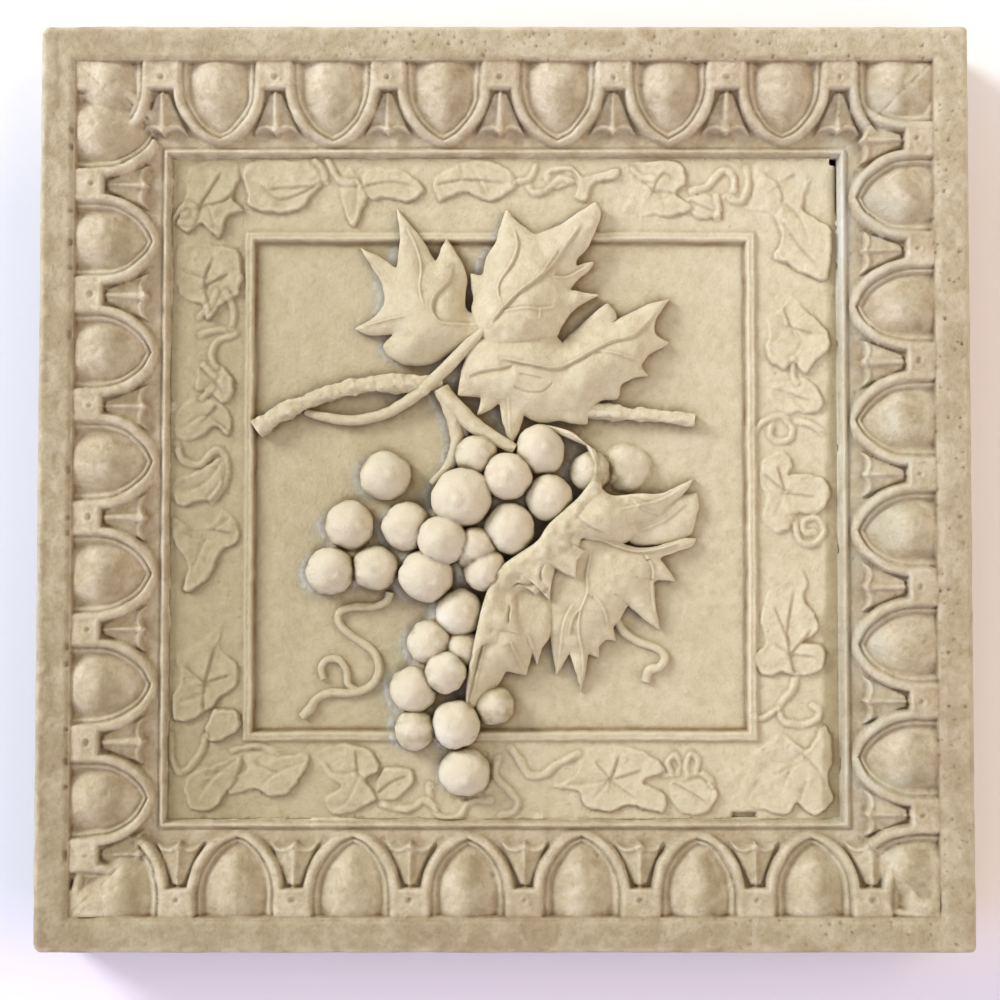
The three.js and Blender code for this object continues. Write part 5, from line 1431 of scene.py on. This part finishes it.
def emulsion_on_plaster(name, base, shade, grain_mm, mottle, glaze_and_shade_pooling):
    """Matt emulsion brushed over cast plaster, with a thin brown glaze and painted shade in the hollows and
    a painted highlight on the high edges.

    Plaster takes the paint unevenly: the eye sees soft cloudy tone changes 10 to 40 mm across, fine brush
    grain about 1 mm wide, pits from the mould, brown lines in the joints and paler rubbed high edges.
    """
    material = bpy.data.materials.new(name)
    material.use_nodes = True
    tree = material.node_tree
    tree.nodes.clear()
    where = node(tree, "ShaderNodeTexCoord").outputs["Object"]

    def noise(millimetres, detail=3.0, rough=0.55, distortion=0.0):
        return node(tree, "ShaderNodeTexNoise", None, i0=where, Scale=1.0 / (millimetres * MM),
                    Detail=detail, Roughness=rough, Distortion=distortion).outputs[0]

    def stored(attribute):
        return node(tree, "ShaderNodeAttribute", {"attribute_name": attribute}).outputs["Fac"]

    near, wide, primer = stored("hollow_near"), stored("hollow_wide"), stored("primer")
    wash, tone = stored("wash"), stored("tone")

    clouds = ramp(tree, noise(34, 3), [(0.25, (0, 0, 0, 1)), (0.75, (1, 1, 1, 1))])
    colour = blend(tree, clouds, shade, base)
    patches = ramp(tree, noise(7, 4, 0.6, 0.6), [(0.42, linear(OLIVE_HEX)), (0.60, (1, 1, 1, 1))])
    colour = blend(tree, mottle, colour, patches, "MULTIPLY")
    speckle = ramp(tree, noise(2.2, 5, 0.7), [(0.30, linear(SPECKLE_HEX)), (0.55, (1, 1, 1, 1))])
    colour = blend(tree, 0.35 + 0.5 * mottle, colour, speckle, "MULTIPLY")

    # Darker and browner where the stored tone is low: the painted light and shade stored for the eggs and
    # the tile, and the frame's darker border.
    tint = node(tree, "ShaderNodeCombineColor", None, i0=tone, i1=maths(tree, "POWER", tone, 1.1),
                i2=maths(tree, "POWER", tone, 1.45)).outputs[0]
    colour = blend(tree, 1.0, colour, tint, "MULTIPLY")

    # Whitish grey where the primer attribute is set: primer, a painted highlight on the frame's right side,
    # and the pale grey left of tall parts of the tile.
    worn = maths(tree, "MULTIPLY", primer, maths(tree, "ADD", noise(5, 4), 0.45), True)
    coat = ramp(tree, primer, [(0.40, linear(LOW_PRIMER_GREY_HEX)), (0.75, linear(PRIMER_HEX))])
    colour = blend(tree, worn, colour, coat)

    # Brown glaze and painted shade held in the hollows and incised lines.
    in_wide, in_near = (maths(tree, "MULTIPLY", field, share, True)
                        for field, share in ((wide, glaze_and_shade_pooling), (near, 0.30)))
    glaze_and_shade = maths(tree, "ADD", in_wide, in_near, True)
    glaze_and_shade = maths(tree, "ADD", glaze_and_shade, maths(tree, "MULTIPLY", wash, 0.75, True), True)
    brown = maths(tree, "MULTIPLY", glaze_and_shade, maths(tree, "ADD", noise(7), 0.45), True)
    colour = blend(tree, brown, colour, linear(GLAZE_AND_SHADE_HEX), "MULTIPLY")
    # High edges: paint rubbed pale, and a painted highlight on the raised lines and rims.
    edges = maths(tree, "MULTIPLY", maths(tree, "MULTIPLY", near, -0.9, True), 0.6 - 0.45 * mottle, True)
    colour = blend(tree, edges, colour, linear(RUBBED_AND_HIGHLIGHT_HEX))

    dots = ramp(tree, noise(0.9, 2, 0.8), [(0.0, (0, 0, 0, 1)), (0.27, (1, 1, 1, 1))])
    colour = blend(tree, 0.25 + 0.35 * mottle, colour, dots, "MULTIPLY")

    grain = node(tree, "ShaderNodeBump", None, Strength=0.9, Distance=(0.28 + 0.5 * mottle) * MM,
                 Height=noise(grain_mm, 6, 0.7))
    lumpy = node(tree, "ShaderNodeBump", None, Strength=0.8, Distance=0.7 * MM, Height=noise(4.5, 3, 0.5),
                 Normal=grain.outputs[0])
    finish = ramp(tree, noise(6, 3), [(0.3, (0.62, 0.62, 0.62, 1)), (0.8, (0.82, 0.82, 0.82, 1))])
    shader = node(tree, "ShaderNodeBsdfPrincipled", None, Base_Color=colour, Roughness=finish,
                  Normal=lumpy.outputs[0], IOR=1.48, Specular_IOR_Level=0.35)
    out = node(tree, "ShaderNodeOutputMaterial")
    tree.links.new(shader.outputs[0], out.inputs[0])
    return material


# ---- settings --------------------------------------------------------------------------------

def length(name, description, default, low=0.0, high=0.3):
    return FloatProperty(name=name, description=description, default=default, min=low, max=high,
                         subtype="DISTANCE", unit="LENGTH", precision=5)


def colour(name, description, default):
    return FloatVectorProperty(name=name, description=description, default=linear(default), size=4,
                               min=0.0, max=1.0, subtype="COLOR")


class PlaqueFrameSettings(PropertyGroup):
    egg_rise: length("Egg rise", "How far the eggs stand out from their moat", 0.0031, 0.001, 0.006)
    pit_depth: length("Pit depth", "Depth of the casting pits in the border", 0.0006, 0.0, 0.002)
    paint: colour("Frame paint", "Main colour of the frame", "#D9D1B7")
    shade: colour("Frame shade", "Darker clouds in the frame's paint", "#CEC1A9")


class PlaqueTileSettings(PropertyGroup):
    frieze_height: length("Frieze height", "How far the frieze leaves stand out", 0.0014, 0.0005, 0.004)
    leaf_sheet: length("Leaf edge", "Visible thickness of the large leaves' edges", 0.0030, 0.001, 0.006)
    faces: IntProperty(name="Triangles", description="Most triangles kept in the tile's skin",
                       default=MOST_TRIANGLES, min=20000, max=199000)
    paint: colour("Tile paint", "Main colour of the tile", "#E1DABF")
    shade: colour("Tile shade", "Darker clouds in the tile's paint", "#DBD2B3")


class PlaqueStageSettings(PropertyGroup):
    wall: colour("Wall", "Colour of the wall and floor", "#D6DBE3")
    key_power: FloatProperty(name="Key light", description="Power of the window light in watts",
                             default=54.0, min=0.0, max=500.0, unit="POWER")
    fill_power: FloatProperty(name="Fill light", description="Power of the room's fill in watts",
                              default=22.0, min=0.0, max=500.0, unit="POWER")
    distance: length("Camera distance", "From the lens to the border's front face", 0.5, 0.2, 2.0)


# ---- operators -------------------------------------------------------------------------------

def finish_piece(piece, node_name, material):
    """Smooth, paint, and hand a piece to the frame."""
    piece.data.materials.clear()
    piece.data.materials.append(material)
    piece.data.shade_smooth()
    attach(piece, "root")
    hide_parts(node_name)


class PLAQUE_OT_frame(Operator):
    """Cast the moulded frame with its egg-and-dart band"""
    bl_idname = "plaque.frame"
    bl_label = "Moulded frame"

    def execute(self, context):
        settings = context.scene.plaque_frame
        place, rows, cols = frame_place(settings)
        mesh = close_up(grid_mesh("moulded_frame", rows, cols, place))
        piece = place_object("moulded_frame", mesh)
        thin_to(piece, MOST_TRIANGLES)
        mark_frame_paint_light_and_shade(piece, mark_hollows([piece])[0][-1])
        material = emulsion_on_plaster("emulsion on cast plaster, tan", list(settings.paint),
                                       list(settings.shade), grain_mm=1.3, mottle=0.65, glaze_and_shade_pooling=0.27)
        finish_piece(piece, "frame", material)
        return {"FINISHED"}


class PLAQUE_OT_tile(Operator):
    """Cast the relief tile: frieze, fillet, leaves, grapes, twig and tendrils in one"""
    bl_idname = "plaque.tile"
    bl_label = "Relief tile"

    def execute(self, context):
        settings = context.scene.plaque_tile
        ground = tile_ground(settings)
        ground.name = "vine_relief_tile"
        sheet = settings.leaf_sheet / MM
        leaves = [leaf_piece(f"leaf_{name}", sheet=sheet, **leaf) for name, leaf in LEAVES.items()]
        leaves = fused(rolled_edge_piece(sheet), leaves)
        leaves.name = "vine_leaves"
        grapes = [grape_piece(k, *grape[:4]) for k, grape in enumerate(GRAPES)]
        grapes = fused(grapes[0], grapes[1:] + [rod_piece(name, **rod) for name, rod in RODS.items()])
        grapes.name = "grapes_and_twig"
        material = emulsion_on_plaster("emulsion on cast plaster, cream", list(settings.paint),
                                       list(settings.shade), grain_mm=0.8, mottle=0.25, glaze_and_shade_pooling=0.20)
        pieces = (ground, leaves, grapes)
        for piece in pieces:
            thin_to(piece, settings.faces)
        for piece, hollows in zip(pieces, mark_hollows(pieces)):
            mark_primer(piece, *hollows)
            mark_wash_and_shade(piece, hollows[-1])
            mark_tile_paint_light_and_shade(piece, hollows[-1])
            finish_piece(piece, "relief_tile", material)
        return {"FINISHED"}


def wall_material(cool, warm_light):
    """Plain matt wall paint with painted light: warmer to the right of the plaque, whiter above it and
    lavender below it.
    """
    material = bpy.data.materials.new("rolled wall emulsion")
    material.use_nodes = True
    tree = material.node_tree
    where = node(tree, "ShaderNodeTexCoord").outputs["Object"]
    split = node(tree, "ShaderNodeSeparateXYZ", None, i0=where).outputs
    # Painted light on the wall: warm to the right, white above, lavender below.
    to_right, to_top, to_foot = (
        node(tree, "ShaderNodeMapRange", None, Value=split[axis], From_Min=low, From_Max=high).outputs[0]
        for axis, low, high in ((0, 0.02, 0.15), (2, 0.08, 0.14), (2, -0.11, -0.14)))
    plain = blend(tree, to_foot, blend(tree, to_right, cool, warm_light), linear(FOOT_WALL_LIGHT_HEX))
    shader = tree.nodes["Principled BSDF"]
    tree.links.new(blend(tree, to_top, plain, linear(LIT_TOP_WALL_HEX)), shader.inputs["Base Color"])
    shader.inputs["Roughness"].default_value = 0.9
    return material


def area_light(name, position, target, power, size, tint):
    data = bpy.data.lights.new(name, "AREA")
    data.energy = power
    data.shape = "RECTANGLE"
    data.size, data.size_y = size
    data.color = linear(tint)[:3]
    lamp = bpy.data.objects.new(name, data)
    lamp.location = position
    lamp.rotation_euler = (Vector(target) - Vector(position)).to_track_quat("-Z", "Y").to_euler()
    bpy.context.scene.collection.objects.link(lamp)
    return lamp


class PLAQUE_OT_stage(Operator):
    """Set the wall, floor, lights and camera"""
    bl_idname = "plaque.stage"
    bl_label = "Stage"

    def execute(self, context):
        settings = context.scene.plaque_stage
        bm = bmesh.new()
        bmesh.ops.create_grid(bm, x_segments=1, y_segments=1, size=WALL_HALF)
        upright = Matrix.Rotation(math.pi / 2, 3, "X")
        bmesh.ops.rotate(bm, verts=bm.verts, cent=(0, 0, 0), matrix=upright)
        bmesh.ops.translate(bm, verts=bm.verts, vec=(0, WALL_GAP, WALL_LIFT))
        low = [e for e in bm.edges if all(v.co.z < 0 for v in e.verts)]
        floor = bmesh.ops.extrude_edge_only(bm, edges=low)["geom"]
        for vertex in (g for g in floor if isinstance(g, bmesh.types.BMVert)):
            vertex.co.y -= FLOOR_REACH
        bmesh.ops.recalc_face_normals(bm, faces=bm.faces)
        mesh = bpy.data.meshes.new("wall_and_floor")
        bm.to_mesh(mesh)
        bm.free()
        mesh.materials.append(wall_material(list(settings.wall), linear(WARM_LIT_WALL_HEX)))
        place_object("wall_and_floor", mesh)

        area_light("window", WINDOW_AT, (0, 0, 0), settings.key_power, (0.7, 0.7), "#F6F8FF")
        area_light("room", ROOM_AT, (0, 0, 0), settings.fill_power, (1.6, 1.6), "#FFE6C8")
        context.scene.view_settings.view_transform = "Standard"
        world = bpy.data.worlds.new("room light")
        world.use_nodes = True
        sky = world.node_tree.nodes["Background"]
        sky.inputs[0].default_value = linear("#F4F3F6")
        sky.inputs[1].default_value = SKY_STRENGTH
        context.scene.world = world
        self.set_camera(context, settings.distance)
        return {"FINISHED"}

    def set_camera(self, context, distance):
        """A short tele view from just below the plaque's normal."""
        lens = bpy.data.cameras.new("camera")
        lens.sensor_width = SENSOR
        lens.lens = LENS_PER_METRE * distance
        lens.shift_x, lens.shift_y = LENS_SHIFT
        camera = bpy.data.objects.new("camera", lens)
        back, down = distance * math.cos(CAMERA_TILT), distance * math.sin(CAMERA_TILT)
        camera.location = (0, -FRONT * MM - back, -down)
        camera.rotation_euler = (math.pi / 2 + CAMERA_TILT, 0, 0)
        context.scene.collection.objects.link(camera)
        context.scene.camera = camera


class PLAQUE_PT_panel(Panel):
    """Lists the plaque's settings and build steps"""
    bl_label = "Vine Plaque"
    bl_idname = "PLAQUE_PT_panel"
    bl_space_type = "VIEW_3D"
    bl_region_type = "UI"
    bl_category = "Vine Plaque"

    def draw(self, context):
        layout = self.layout
        scene = context.scene
        for holder, names, step in (
                (scene.plaque_frame, ("egg_rise", "pit_depth", "paint", "shade"), "plaque.frame"),
                (scene.plaque_tile, ("frieze_height", "leaf_sheet", "faces", "paint", "shade"),
                 "plaque.tile"),
                (scene.plaque_stage, ("wall", "key_power", "fill_power", "distance"), "plaque.stage")):
            box = layout.box()
            for name in names:
                box.prop(holder, name)
            box.operator(step)


CLASSES = (PlaqueFrameSettings, PlaqueTileSettings, PlaqueStageSettings, PLAQUE_OT_frame, PLAQUE_OT_tile,
           PLAQUE_OT_stage, PLAQUE_PT_panel)
HOLDERS = {"plaque_frame": PlaqueFrameSettings, "plaque_tile": PlaqueTileSettings,
           "plaque_stage": PlaqueStageSettings}


def register():
    for item in CLASSES:
        bpy.utils.register_class(item)
    for name, group in HOLDERS.items():
        setattr(bpy.types.Scene, name, PointerProperty(type=group))


def unregister():
    for name in HOLDERS:
        delattr(bpy.types.Scene, name)
    for item in reversed(CLASSES):
        bpy.utils.unregister_class(item)


def main():
    register()
    bpy.ops.plaque.frame()
    bpy.ops.plaque.tile()
    bpy.ops.plaque.stage()


if __name__ == "__main__":
    main()
